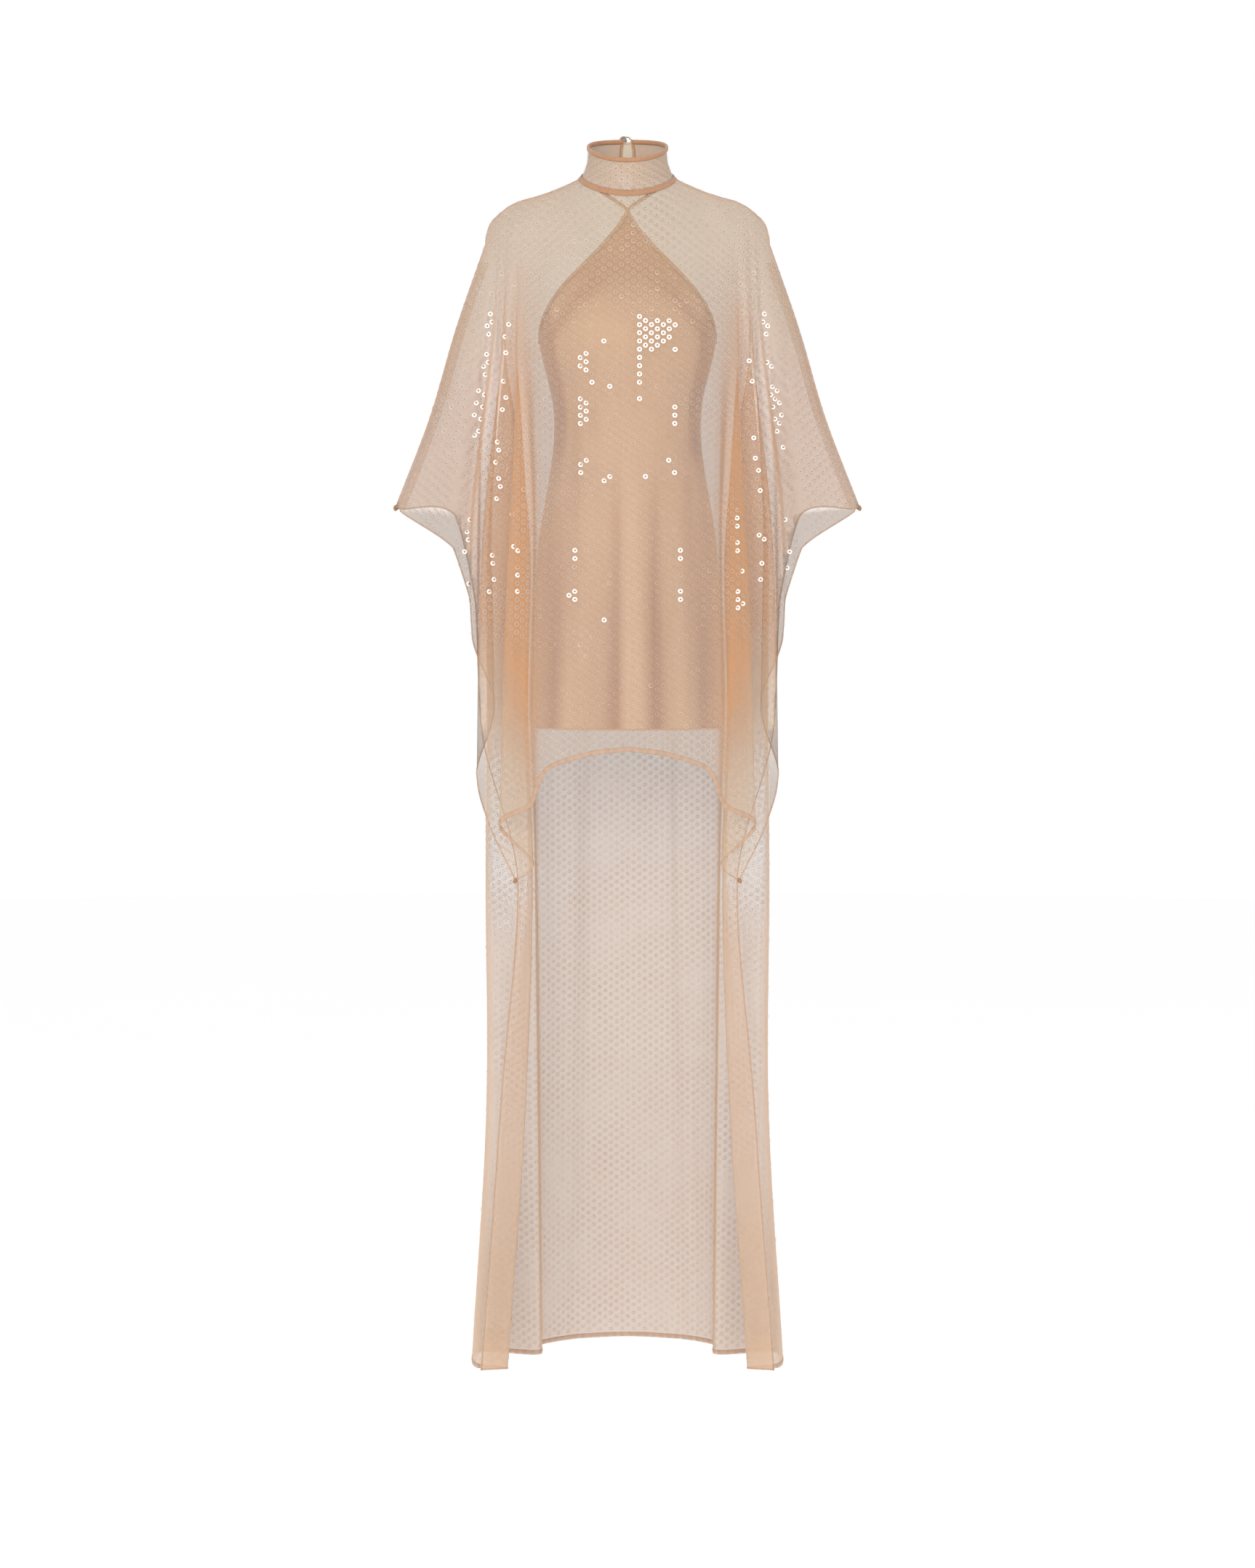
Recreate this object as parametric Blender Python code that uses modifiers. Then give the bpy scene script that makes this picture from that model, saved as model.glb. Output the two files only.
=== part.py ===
"""Sheer high-low kaftan with an attached slip, modelled as it hangs when worn.

Metres, +Z up, the front facing -Y. The origin is the middle of the neck seam, level with the
side of the neck. A short front panel and a floor-length back panel meet along the shoulders
and on down the outer ridge of each arm to the cuff. Below the cuffs they are open, so their
free sides fall in folds. The slip hangs inside from two straps that cross at the throat.
"""

import math
from collections import namedtuple

import bmesh
import bpy
from mathutils import Vector

# Walls and the gap that sewn pieces keep
SHEER_WALL = 0.0012
SLIP_WALL = 0.0013
COLLAR_WALL = 0.0014
TRIM_WALL = 0.0010
SEAM_GAP = 0.0003
CURVE_SLACK = 0.0002
YOKE_SLACK = 0.0006

# Neck seam and collar: rings of an egg-shaped neck, high at the back
NECK_HALF_WIDTH = 0.069
NECK_HALF_DEPTH = 0.072
NECK_SETBACK = -0.010
NECK_RISE = 0.021
NECK_SADDLE = 0.0045
COLLAR_HALF_WIDTH = 0.0574
COLLAR_HALF_DEPTH = 0.0615
COLLAR_SETBACK = -0.011
COLLAR_HEIGHT = 0.04575
COLLAR_RISE = 0.0215
COLLAR_SADDLE = 0.00225
COLLAR_FOOT = 0.020
COLLAR_BINDING = 0.005
NECK_BAND = 0.008

# Keyhole at the centre back, with its button and loop
KEYHOLE_HALF_WIDTH = 0.00735
KEYHOLE_ROUND_RADIUS = 0.009
KEYHOLE_ROUND_Z = 0.002
KEYHOLE_BINDING = 0.004
BUTTON_RADIUS = 0.0048
BUTTON_THICKNESS = 0.0042
BUTTON_X = -0.0062
BUTTON_Z = 0.0630
LOOP_RADIUS = 0.0009

# Shoulder seam from the neck to the point of the shoulder: (x, z)
SHOULDER_SEAM = (
    (0.069, 0.0),
    (0.101, -0.0155),
    (0.136, -0.0264),
    (0.162, -0.0340),
    (0.179, -0.0436),
    (0.192, -0.0564),
)
SHOULDER_SEAM_Y = (-0.010, 0.0)
SHOULDER_POINT_EASE = 0.0005

# Rows of each panel: a few over the yoke, the rest from the yoke level to the hem
YOKE_LEVEL = -0.095
YOKE_ROWS = 4
FRONT_ROWS = 10
BACK_ROWS = 14
FOLD_SOFTNESS = 0.20

# A fold line of a panel, from the centre outwards:
# top is 0 at the centre of the neck, 1 at the side of the neck and 2 at the shoulder point;
# round is how far the cloth domes over the shoulder; steps is the grid steps to the next fold;
# hem is the height where the line ends; places are its (x, y) at the panel's levels.
# Places below a line's hem only steer the lines beside it.
# FOLD_SOFTNESS is the share of a span that the first grid step beside a fold takes.
Fold = namedtuple("Fold", "name top round steps hem places")

FRONT_LEVELS = (YOKE_LEVEL, -0.216, -0.350, -0.480, -0.700, -0.900)
FRONT_FOLDS = (
    Fold("centre", 0.00, 0.00, 3, -0.830,
         ((0.000, -0.100), (0.000, -0.129), (0.000, -0.126),
          (0.000, -0.127), (0.000, -0.133), (0.000, -0.138))),
    Fold("chest", 0.33, 0.10, 3, -0.838,
         ((0.052, -0.098), (0.062, -0.127), (0.060, -0.122),
          (0.058, -0.122), (0.058, -0.128), (0.058, -0.134))),
    Fold("side_chest", 0.67, 0.30, 3, -0.860,
         ((0.098, -0.088), (0.108, -0.116), (0.106, -0.114),
          (0.104, -0.114), (0.110, -0.121), (0.117, -0.125))),
    Fold("first_crest", 1.00, 0.60, 3, -0.908,
         ((0.128, -0.076), (0.138, -0.098), (0.137, -0.105),
          (0.136, -0.110), (0.151, -0.115), (0.137, -0.120))),
    Fold("outer_crest", 1.21, 0.80, 3, -0.940,
         ((0.146, -0.068), (0.156, -0.078), (0.162, -0.081),
          (0.168, -0.084), (0.178, -0.092), (0.183, -0.096))),
    Fold("inner_valley", 1.37, 0.85, 2, -0.998,
         ((0.157, -0.061), (0.163, -0.066), (0.154, -0.064),
          (0.146, -0.064), (0.146, -0.070), (0.139, -0.076))),
    Fold("corner", 1.50, 0.85, 2, -1.023,
         ((0.165, -0.056), (0.170, -0.066), (0.171, -0.063),
          (0.172, -0.060), (0.170, -0.062), (0.165, -0.067))),
    Fold("corner_crest", 1.57, 0.85, 2, -0.942,
         ((0.169, -0.053), (0.174, -0.064), (0.183, -0.062),
          (0.192, -0.058), (0.199, -0.058), (0.201, -0.060))),
    Fold("low_crest", 1.64, 0.85, 3, -0.872,
         ((0.172, -0.050), (0.177, -0.060), (0.192, -0.055),
          (0.207, -0.048), (0.216, -0.050), (0.219, -0.052))),
    Fold("low_valley", 1.72, 0.85, 3, -0.770,
         ((0.178, -0.043), (0.182, -0.048), (0.190, -0.039),
          (0.197, -0.030), (0.195, -0.025), (0.193, -0.022))),
    Fold("mid_crest", 1.81, 0.85, 2, -0.672,
         ((0.184, -0.038), (0.190, -0.050), (0.205, -0.043),
          (0.220, -0.034), (0.228, -0.021), (0.234, -0.012))),
    Fold("mid_valley", 1.86, 0.85, 2, -0.612,
         ((0.189, -0.032), (0.197, -0.038), (0.214, -0.027),
          (0.230, -0.016), (0.230, -0.016))),
    Fold("top_crest", 1.91, 0.85, 3, -0.540,
         ((0.195, -0.025), (0.208, -0.040), (0.229, -0.031),
          (0.249, -0.022), (0.266, -0.012))),
    Fold("sleeve_front", 1.96, 0.85, 2, -0.487,
         ((0.206, -0.007), (0.245, -0.013), (0.283, -0.021), (0.329, -0.027))),
    Fold("ridge", 2.00, 0.85, 0, -0.482,
         ((0.208, -0.0004), (0.250, -0.0004), (0.289, -0.0094), (0.338, -0.0206))),
)
FRONT_CORNER = "corner"

BACK_LEVELS = (YOKE_LEVEL, -0.216, -0.350, -0.480, -0.803, -1.019, -1.340, -1.721)
BACK_FOLDS = (
    Fold("centre", 0.00, 0.10, 3, -1.721,
         ((0.000, 0.098), (0.000, 0.113), (0.000, 0.110), (0.000, 0.112),
          (0.000, 0.120), (0.000, 0.126), (0.000, 0.133), (0.000, 0.140))),
    Fold("blade", 0.33, 0.20, 2, -1.721,
         ((0.052, 0.097), (0.062, 0.112), (0.058, 0.110), (0.054, 0.113),
          (0.053, 0.122), (0.056, 0.126), (0.062, 0.127), (0.070, 0.125))),
    Fold("soft_valley", 0.52, 0.30, 2, -1.721,
         ((0.078, 0.092), (0.087, 0.105), (0.084, 0.099), (0.080, 0.098),
          (0.080, 0.104), (0.082, 0.108), (0.084, 0.114), (0.091, 0.114))),
    Fold("side_blade", 0.70, 0.42, 2, -1.721,
         ((0.101, 0.086), (0.112, 0.101), (0.109, 0.099), (0.107, 0.099),
          (0.108, 0.104), (0.109, 0.106), (0.107, 0.105), (0.106, 0.103))),
    Fold("first_crest", 1.00, 0.65, 3, -1.721,
         ((0.128, 0.075), (0.138, 0.088), (0.137, 0.086), (0.136, 0.085),
          (0.136, 0.086), (0.136, 0.086), (0.132, 0.082), (0.128, 0.078))),
    Fold("inner_valley", 1.21, 0.80, 3, -1.721,
         ((0.146, 0.067), (0.157, 0.074), (0.150, 0.062), (0.142, 0.052),
          (0.146, 0.042), (0.137, 0.030), (0.133, 0.022), (0.130, 0.013))),
    Fold("back_crest", 1.37, 0.85, 3, -1.721,
         ((0.161, 0.061), (0.172, 0.067), (0.187, 0.064), (0.202, 0.062),
          (0.204, 0.046), (0.202, 0.034), (0.196, 0.031), (0.215, 0.028))),
    Fold("front_crest", 1.50, 0.85, 3, -1.721,
         ((0.167, 0.058), (0.179, 0.058), (0.190, 0.050), (0.200, 0.044),
          (0.203, 0.018), (0.202, -0.012), (0.198, -0.046), (0.216, -0.078))),
    Fold("front_valley", 1.62, 0.85, 3, -1.721,
         ((0.173, 0.054), (0.183, 0.050), (0.166, 0.046), (0.148, 0.044),
          (0.148, 0.022), (0.139, -0.018), (0.147, -0.056), (0.172, -0.092))),
    Fold("corner", 1.70, 0.85, 2, -1.721,
         ((0.178, 0.050), (0.188, 0.046), (0.171, 0.038), (0.153, 0.031),
          (0.150, 0.006), (0.145, -0.036), (0.170, -0.070), (0.211, -0.103))),
    Fold("side_edge", 1.76, 0.85, 2, -1.400,
         ((0.181, 0.047), (0.191, 0.044), (0.177, 0.036), (0.163, 0.028),
          (0.160, 0.003), (0.153, -0.040), (0.182, -0.074), (0.222, -0.106))),
    Fold("edge_valley", 1.81, 0.85, 3, -1.015,
         ((0.184, 0.044), (0.194, 0.041), (0.184, 0.033), (0.174, 0.025),
          (0.173, 0.001), (0.161, -0.044), (0.194, -0.078))),
    Fold("low_crest", 1.86, 0.85, 2, -0.800,
         ((0.189, 0.038), (0.207, 0.036), (0.211, 0.029), (0.214, 0.022),
          (0.216, 0.000), (0.220, -0.040), (0.240, -0.080))),
    Fold("mid_crest", 1.90, 0.85, 2, -0.620,
         ((0.194, 0.032), (0.216, 0.030), (0.220, 0.020), (0.222, 0.010), (0.226, -0.006))),
    Fold("top_crest", 1.94, 0.85, 2, -0.492,
         ((0.200, 0.024), (0.233, 0.022), (0.242, 0.016), (0.253, 0.008))),
    Fold("sleeve_back", 1.97, 0.85, 2, -0.484,
         ((0.206, 0.007), (0.246, 0.013), (0.282, 0.002), (0.329, -0.013))),
    Fold("ridge", 2.00, 0.85, 0, -0.482,
         ((0.208, 0.0004), (0.250, 0.0004), (0.289, -0.0086), (0.338, -0.0192))),
)
BACK_CORNER = "corner"

# Sections of the slip: height, half width, depth in front of the seams and behind them
SlipSection = namedtuple("SlipSection", "name z half_width front back")
SLIP_SECTIONS = (
    SlipSection("throat", -0.053, 0.110, 0.0800, 0.070),
    SlipSection("collarbone", -0.100, 0.119, 0.0950, 0.082),
    SlipSection("chest", -0.150, 0.128, 0.1050, 0.090),
    SlipSection("bust", -0.233, 0.129, 0.1160, 0.088),
    SlipSection("waist", -0.335, 0.108, 0.1040, 0.066),
    SlipSection("hip", -0.550, 0.131, 0.1080, 0.100),
    SlipSection("hem", -0.803, 0.139, 0.1120, 0.104),
)
SLIP_APEX_Z = -0.053
SLIP_SIDE_TOP_Z = -0.240
SLIP_BACK_TOP_Z = -0.262
SLIP_HEM_Z = -0.803
SLIP_EDGE_CURVE = 0.79
SLIP_COLUMNS = 10
SLIP_ROWS = 11

# Bias binding of the slip's top edge, which runs on as a strap to the neck seam
STRAP_WIDTH = 0.0050
STRAP_TOP_ANGLE = 35.0
STRAP_TOP_INSET = 0.0016
STRAP_CROSSING_LIFT = 0.0022

# Colours, as linear RGB
SHEER_NUDE = (0.560, 0.400, 0.290)
SLIP_NUDE = (0.620, 0.400, 0.260)
BINDING_TAN = (0.560, 0.300, 0.170)
BUTTON_BROWN = (0.300, 0.250, 0.220)


def clear_scene():
    """Remove the objects of the scene that the script starts in."""
    for obj in list(bpy.data.objects):
        bpy.data.objects.remove(obj, do_unlink=True)


def cloth_material(name, colour, roughness):
    """A plain dielectric finish."""
    material = bpy.data.materials.new(name)
    material.use_nodes = True
    shader = material.node_tree.nodes["Principled BSDF"]
    shader.inputs["Base Color"].default_value = (*colour, 1.0)
    shader.inputs["Roughness"].default_value = roughness
    shader.inputs["Metallic"].default_value = 0.0
    return material


def new_collection(name):
    """A collection of the scene."""
    collection = bpy.data.collections.new(name)
    bpy.context.scene.collection.children.link(collection)
    return collection


def smooth(knots, values, at):
    """Value at one knot position of a smooth curve through the values.

    Hermite spans with three-point slopes. Past the last knot the curve runs on straight.
    """
    count = len(knots)
    slopes = []
    for i in range(count):
        before = max(i - 1, 0)
        after = min(i + 1, count - 1)
        rise_in = (values[i] - values[before]) / max(knots[i] - knots[before], 1e-9)
        rise_out = (values[after] - values[i]) / max(knots[after] - knots[i], 1e-9)
        if i == 0:
            slopes.append(rise_out)
        elif i == count - 1:
            slopes.append(rise_in)
        else:
            reach = knots[after] - knots[before]
            share = (knots[i] - knots[before]) / reach
            slopes.append(rise_in * (1.0 - share) + rise_out * share)
    if at <= knots[0]:
        return values[0] + slopes[0] * (at - knots[0])
    if at >= knots[-1]:
        return values[-1] + slopes[-1] * (at - knots[-1])
    span = 0
    while at > knots[span + 1]:
        span += 1
    width = knots[span + 1] - knots[span]
    t = (at - knots[span]) / width
    start = values[span] * (2 * t**3 - 3 * t**2 + 1) + slopes[span] * (width * (t**3 - 2 * t**2 + t))
    end = values[span + 1] * (3 * t**2 - 2 * t**3) + slopes[span + 1] * (width * (t**3 - t**2))
    return start + end


def neck_seam(angle):
    """Point of the neck seam, with the angle in degrees from the centre front."""
    a = math.radians(angle)
    return Vector((
        NECK_HALF_WIDTH * math.sin(a),
        NECK_SETBACK - NECK_HALF_DEPTH * math.cos(a),
        -NECK_SADDLE - NECK_RISE * math.cos(a) - NECK_SADDLE * math.cos(2 * a),
    ))


def collar_rim(angle):
    """Point of the collar's top edge."""
    a = math.radians(angle)
    return Vector((
        COLLAR_HALF_WIDTH * math.sin(a),
        COLLAR_SETBACK - COLLAR_HALF_DEPTH * math.cos(a),
        COLLAR_HEIGHT - COLLAR_RISE * math.cos(a) - COLLAR_SADDLE * math.cos(2 * a),
    ))


def collar_middle(angle, height):
    """Point in the middle of the collar's wall, from 0 at the seam to 1 at the top edge."""
    seam = neck_seam(angle)
    rim = collar_rim(angle)
    inwards = 1.0 - (1.0 - height) ** 3
    flat = seam.lerp(rim, inwards)
    return Vector((flat.x, flat.y, seam.z + (rim.z - seam.z) * height))


def collar_frame(angle, height):
    """Middle point of the collar, its outward normal and its upward direction."""
    step = 0.01
    middle = collar_middle(angle, height)
    up = (collar_middle(angle, height + step) - collar_middle(angle, height - step)).normalized()
    around = (collar_middle(angle + 1.0, height) - collar_middle(angle - 1.0, height)).normalized()
    outward = around.cross(up).normalized()
    return middle, outward, up


def collar_end_angle(height):
    """Angle where the collar stops beside the centre back, the same width all the way up."""
    radius = NECK_HALF_WIDTH + (COLLAR_HALF_WIDTH - NECK_HALF_WIDTH) * (1.0 - (1.0 - height) ** 3)
    return 180.0 - math.degrees(math.asin(KEYHOLE_HALF_WIDTH / radius))


def shoulder_seam(along, side):
    """Point of the shoulder seam, from 0 at the neck to 1 at the shoulder point."""
    reach = [row[0] for row in SHOULDER_SEAM]
    x = reach[0] + (reach[-1] - reach[0]) * along
    y = SHOULDER_SEAM_Y[0] + (SHOULDER_SEAM_Y[1] - SHOULDER_SEAM_Y[0]) * along
    half_gap = SEAM_GAP + SHOULDER_POINT_EASE * along**8
    return Vector((x, y + side * half_gap, smooth(reach, [row[1] for row in SHOULDER_SEAM], x)))


def top_edge(top, side):
    """Point of a panel's top edge; side is -1 for the front panel and 1 for the back one."""
    if top <= 1.0:
        angle = 90.0 * top
        point = neck_seam(angle if side < 0 else 180.0 - angle)
        point.y += side * SEAM_GAP * top
        return point
    return shoulder_seam(top - 1.0, side)


def span_shares(steps):
    """Where the grid columns of a span lie, closer together beside the folds."""
    if steps < 3:
        return [step / steps for step in range(steps)]
    inner = steps - 2
    width = (1.0 - 2 * FOLD_SOFTNESS) / inner
    return [0.0] + [FOLD_SOFTNESS + width * step for step in range(inner + 1)]


class Panel:
    """Middle surface of one sheer panel, set by its fold lines."""

    def __init__(self, folds, levels, rows, corner, side):
        self.folds = folds
        self.levels = [-level for level in levels]
        self.rows = rows
        self.side = side
        self.corner = [fold.name for fold in folds].index(corner)
        self.columns = []
        for index, fold in enumerate(folds[:-1]):
            self.columns += [(index, share) for share in span_shares(fold.steps)]
        self.columns.append((len(folds) - 2, 1.0))

    def hem(self, span, share):
        """Height of the lower edge, with a sharp turn at the corner."""
        first, last = (0, self.corner) if span < self.corner else (self.corner, len(self.folds) - 1)
        heights = [fold.hem for fold in self.folds[first:last + 1]]
        return smooth(range(first, last + 1), heights, span + share)

    def fold_place(self, index, z):
        """Plan position of a fold line at a height, mirrored past the centre and the ridge."""
        if index < 0:
            mirrored = self.fold_place(-index, z)
            return Vector((-mirrored.x, mirrored.y))
        last = len(self.folds) - 1
        if index > last:
            ridge, inner = self.fold_place(last, z), self.fold_place(last - 1, z)
            return Vector((inner.x, 2 * ridge.y - inner.y))
        places = self.folds[index].places
        levels = self.levels[:len(places)]
        return Vector((
            smooth(levels, [place[0] for place in places], -z),
            smooth(levels, [place[1] for place in places], -z),
        ))

    def hanging(self, span, share, down):
        """Point of the cloth from the yoke level, down 0, to the hem, down 1."""
        z = YOKE_LEVEL + (self.hem(span, share) - YOKE_LEVEL) * down
        near = [self.fold_place(index, z) for index in range(span - 1, span + 3)]
        knots = [0.0]
        for start, end in zip(near, near[1:]):
            knots.append(knots[-1] + math.sqrt((end - start).length))
        at = knots[1] + (knots[2] - knots[1]) * share
        return Vector((smooth(knots, [p.x for p in near], at), smooth(knots, [p.y for p in near], at), z))

    def yoke(self, span, share, down):
        """Point over the chest, shoulder or shoulder blade, domed where the shoulder is."""
        this, after = self.folds[span], self.folds[span + 1]
        start = top_edge(this.top + (after.top - this.top) * share, self.side)
        end = self.hanging(span, share, 0.0)
        dome = this.round + (after.round - this.round) * share
        turn = math.pi / 2 * down
        out = (1.0 - dome) * down + dome * math.sin(turn)
        drop = (1.0 - dome) * down + dome * (1.0 - math.cos(turn))
        return Vector((
            start.x + (end.x - start.x) * out,
            start.y + (end.y - start.y) * out,
            start.z + (end.z - start.z) * drop,
        ))

    def point(self, column, row):
        """Point of the grid, row 0 being the top edge."""
        span, share = self.columns[column]
        if row < YOKE_ROWS:
            return self.yoke(span, share, row / YOKE_ROWS)
        return self.hanging(span, share, (row - YOKE_ROWS) / self.rows)

    def below_neck(self, angle, down):
        """Point of the yoke below the neck seam at an angle from the centre front."""
        top = (angle if self.side < 0 else 180.0 - angle) / 90.0
        span = 0
        while top > self.folds[span + 1].top:
            span += 1
        this, after = self.folds[span], self.folds[span + 1]
        return self.yoke(span, (top - this.top) / (after.top - this.top), down)

    def near_centre(self, x, z):
        """Point and outward normal of the yoke beside the centre line."""
        share, down = 0.0, 0.5
        high, low = self.yoke(0, 0.0, 0.0).z, self.yoke(0, 0.0, 1.0).z
        for _ in range(12):
            here = self.yoke(0, share, down)
            down += (here.z - z) / (high - low)
            share += (abs(x) - here.x) / self.yoke(0, 1.0, down).x
        step = 0.02
        across = self.yoke(0, share + step, down) - self.yoke(0, share, down)
        fall = self.yoke(0, share, down + step) - self.yoke(0, share, down)
        normal = across.cross(fall).normalized() * -self.side
        hand = -1.0 if x < 0.0 else 1.0
        return Vector((hand * here.x, here.y, here.z)), Vector((hand * normal.x, normal.y, normal.z))

    def build(self, name, material, collection):
        """The panel's object, a half that is mirrored and given its wall."""
        columns = len(self.columns) - 1
        obj = sheet(name, columns, YOKE_ROWS + self.rows, self.point, material, collection)
        facets = obj.modifiers.new("Facets", "TRIANGULATE")
        facets.quad_method = "SHORTEST_DIAGONAL"
        mirror_halves(obj)
        give_wall(obj, SHEER_WALL)
        return obj


def sheet(name, columns, rows, place, material, collection):
    """Open surface of columns by rows faces, each corner put where place(column, row) says."""
    mesh = bpy.data.meshes.new(name)
    bm = bmesh.new()
    bmesh.ops.create_grid(bm, x_segments=columns, y_segments=rows, size=1.0)
    for vert in bm.verts:
        column = round((vert.co.x + 1.0) / 2.0 * columns)
        row = round((1.0 - vert.co.y) / 2.0 * rows)
        vert.co = place(column, row)
    bm.to_mesh(mesh)
    bm.free()
    mesh.materials.append(material)
    mesh.shade_smooth()
    obj = bpy.data.objects.new(name, mesh)
    collection.objects.link(obj)
    return obj


def mirror_halves(obj):
    """Mirror a half across the centre plane."""
    mirror = obj.modifiers.new("Halves", "MIRROR")
    mirror.use_axis[0] = True
    mirror.merge_threshold = 0.00005


def give_wall(obj, thickness):
    """Thicken a middle surface equally to both sides."""
    wall = obj.modifiers.new("Wall", "SOLIDIFY")
    wall.thickness = thickness
    wall.offset = 0.0
    wall.use_even_offset = True
    wall.use_quality_normals = True


def ribbon(name, path, width, material, collection):
    """Flat binding along a path of (point, normal) pairs."""
    def place(column, row):
        point, normal = path[column]
        before = path[max(column - 1, 0)][0]
        after = path[min(column + 1, len(path) - 1)][0]
        sideways = normal.cross(after - before).normalized()
        return point + sideways * (width * (row - 0.5))

    obj = sheet(name, len(path) - 1, 1, place, material, collection)
    give_wall(obj, TRIM_WALL)
    return obj


def make_collar(material, collection):
    """Stand collar, open at the centre back."""
    columns, rows = 20, 5

    def place(column, row):
        height = 1.0 + (COLLAR_FOOT - 1.0) * row / rows
        return collar_middle(collar_end_angle(height) * column / columns, height)

    obj = sheet("collar", columns, rows, place, material, collection)
    mirror_halves(obj)
    give_wall(obj, COLLAR_WALL)


def make_collar_binding(material, collection):
    """Binding folded over the collar's top edge."""
    columns = 20
    beside = COLLAR_WALL / 2 + SEAM_GAP + CURVE_SLACK + TRIM_WALL / 2
    section = (
        (-COLLAR_BINDING, -beside),
        (0.0, -beside),
        (beside * 0.8, -beside * 0.6),
        (beside * 0.8, beside * 0.6),
        (0.0, beside),
        (-COLLAR_BINDING, beside),
    )

    def place(column, row):
        middle, outward, up = collar_frame(collar_end_angle(1.0) * column / columns, 1.0)
        rise, out = section[row]
        return middle + up * rise + outward * out

    obj = sheet("collar_top_binding", columns, len(section) - 1, place, material, collection)
    mirror_halves(obj)
    give_wall(obj, TRIM_WALL)


def make_neck_band(front, back, material, collection):
    """Band over the outside of the neck seam, half on the collar and half on the panels."""
    columns = 20
    beside = COLLAR_WALL / 2 + SEAM_GAP + CURVE_SLACK + TRIM_WALL / 2

    def place(column, row):
        angle = collar_end_angle(0.0) * column / columns
        seam = neck_seam(angle)
        rise = (collar_middle(angle, 0.02) - seam).normalized()
        fall = (front if angle <= 90.0 else back).below_neck(angle, 0.04) - seam
        fall.normalize()
        around = (neck_seam(angle + 1.0) - neck_seam(angle - 1.0)).normalized()
        on_collar = around.cross(rise).normalized()
        on_panel = -around.cross(fall).normalized()
        if row == 0:
            return seam + rise * (NECK_BAND / 2) + on_collar * beside
        if row == 1:
            return seam + (on_collar + on_panel).normalized() * beside
        return seam + fall * (NECK_BAND / 2) + on_panel * beside

    obj = sheet("neck_seam_band", columns, 2, place, material, collection)
    mirror_halves(obj)
    give_wall(obj, TRIM_WALL)


def slip_section(z):
    """Half width and the two half depths of the slip at a height."""
    depths = [-section.z for section in SLIP_SECTIONS]
    return [
        smooth(depths, [getattr(section, field) for section in SLIP_SECTIONS], -z)
        for field in ("half_width", "front", "back")
    ]


def slip_point(side, angle, z, out=0.0):
    """Point of the slip's middle surface moved out, with its normal.

    Side is -1 for the front and 1 for the back; the angle runs from its centre to the seam.
    """
    half_width, front, back = slip_section(z)
    depth = front if side < 0 else back
    a = math.radians(angle)
    normal = Vector((depth * math.sin(a), side * half_width * math.cos(a), 0.0)).normalized()
    point = Vector((half_width * math.sin(a), side * (depth * math.cos(a) + SEAM_GAP), z))
    return point + normal * out, normal


def slip_top(side, angle):
    """Height of the slip's top edge: a halter neckline in front, a shallow dip behind."""
    if side < 0:
        return SLIP_APEX_Z + (SLIP_SIDE_TOP_Z - SLIP_APEX_Z) * (angle / 90.0) ** SLIP_EDGE_CURVE
    dip = math.cos(math.radians(angle))
    return SLIP_SIDE_TOP_Z + (SLIP_BACK_TOP_Z - SLIP_SIDE_TOP_Z) * dip


def make_slip_half(name, side, material, collection):
    """Front or back of the slip, between the side seams."""
    def place(column, row):
        angle = 90.0 * column / SLIP_COLUMNS
        top = slip_top(side, angle)
        return slip_point(side, angle, top + (SLIP_HEM_Z - top) * row / SLIP_ROWS)[0]

    obj = sheet(name, SLIP_COLUMNS, SLIP_ROWS, place, material, collection)
    mirror_halves(obj)
    give_wall(obj, SLIP_WALL)


def strap_path(hand):
    """Middle line of one binding, from its side seam over the throat to the neck seam.

    The left strap, hand -1, crosses in front of the right one.
    """
    beside = SLIP_WALL / 2 + SEAM_GAP + CURVE_SLACK + TRIM_WALL / 2
    crossing = STRAP_CROSSING_LIFT if hand < 0 else 0.0
    path = []
    edge_steps, strap_steps = 24, 8
    for step in range(edge_steps):
        angle = 88.5 * (1.0 - step / edge_steps)
        lift = crossing * math.exp(-((angle / 12.0) ** 2))
        z = slip_top(-1, angle) - STRAP_WIDTH * 0.3
        point, normal = slip_point(-1, angle, z, beside + lift)
        path.append((Vector((hand * point.x, point.y, point.z)),
                     Vector((hand * normal.x, normal.y, normal.z))))
    throat = slip_point(-1, 0.0, SLIP_APEX_Z)[0]
    throat.y -= beside + crossing
    seam = neck_seam(STRAP_TOP_ANGLE)
    end = Vector((-hand * seam.x, seam.y + STRAP_TOP_INSET, seam.z - STRAP_TOP_INSET))
    for step in range(strap_steps + 1):
        share = step / strap_steps
        path.append((throat.lerp(end, share), Vector((-hand * 0.35 * share, -1.0, 0.25 * share))))
    return path


def keyhole_cutter(name, collection):
    """Cutter of the keyhole: a slot down from the collar's gap to a round end."""
    mesh = bpy.data.meshes.new(name)
    bm = bmesh.new()
    bmesh.ops.create_cone(bm, cap_ends=True, segments=24, radius1=KEYHOLE_ROUND_RADIUS,
                          radius2=KEYHOLE_ROUND_RADIUS, depth=0.06)
    for vert in bm.verts:
        x, y, z = vert.co
        above = max(0.0, y)
        stretch = 1.0 + above / KEYHOLE_ROUND_RADIUS * 9.0
        narrow = 1.0 - (1.0 - KEYHOLE_HALF_WIDTH / KEYHOLE_ROUND_RADIUS) * above / KEYHOLE_ROUND_RADIUS
        vert.co = (x * narrow, -z, y * stretch)
    bm.to_mesh(mesh)
    bm.free()
    obj = bpy.data.objects.new(name, mesh)
    obj.location = (0.0, 0.075, KEYHOLE_ROUND_Z)
    obj.display_type = "WIRE"
    obj.hide_render = True
    collection.objects.link(obj)
    return obj


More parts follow.
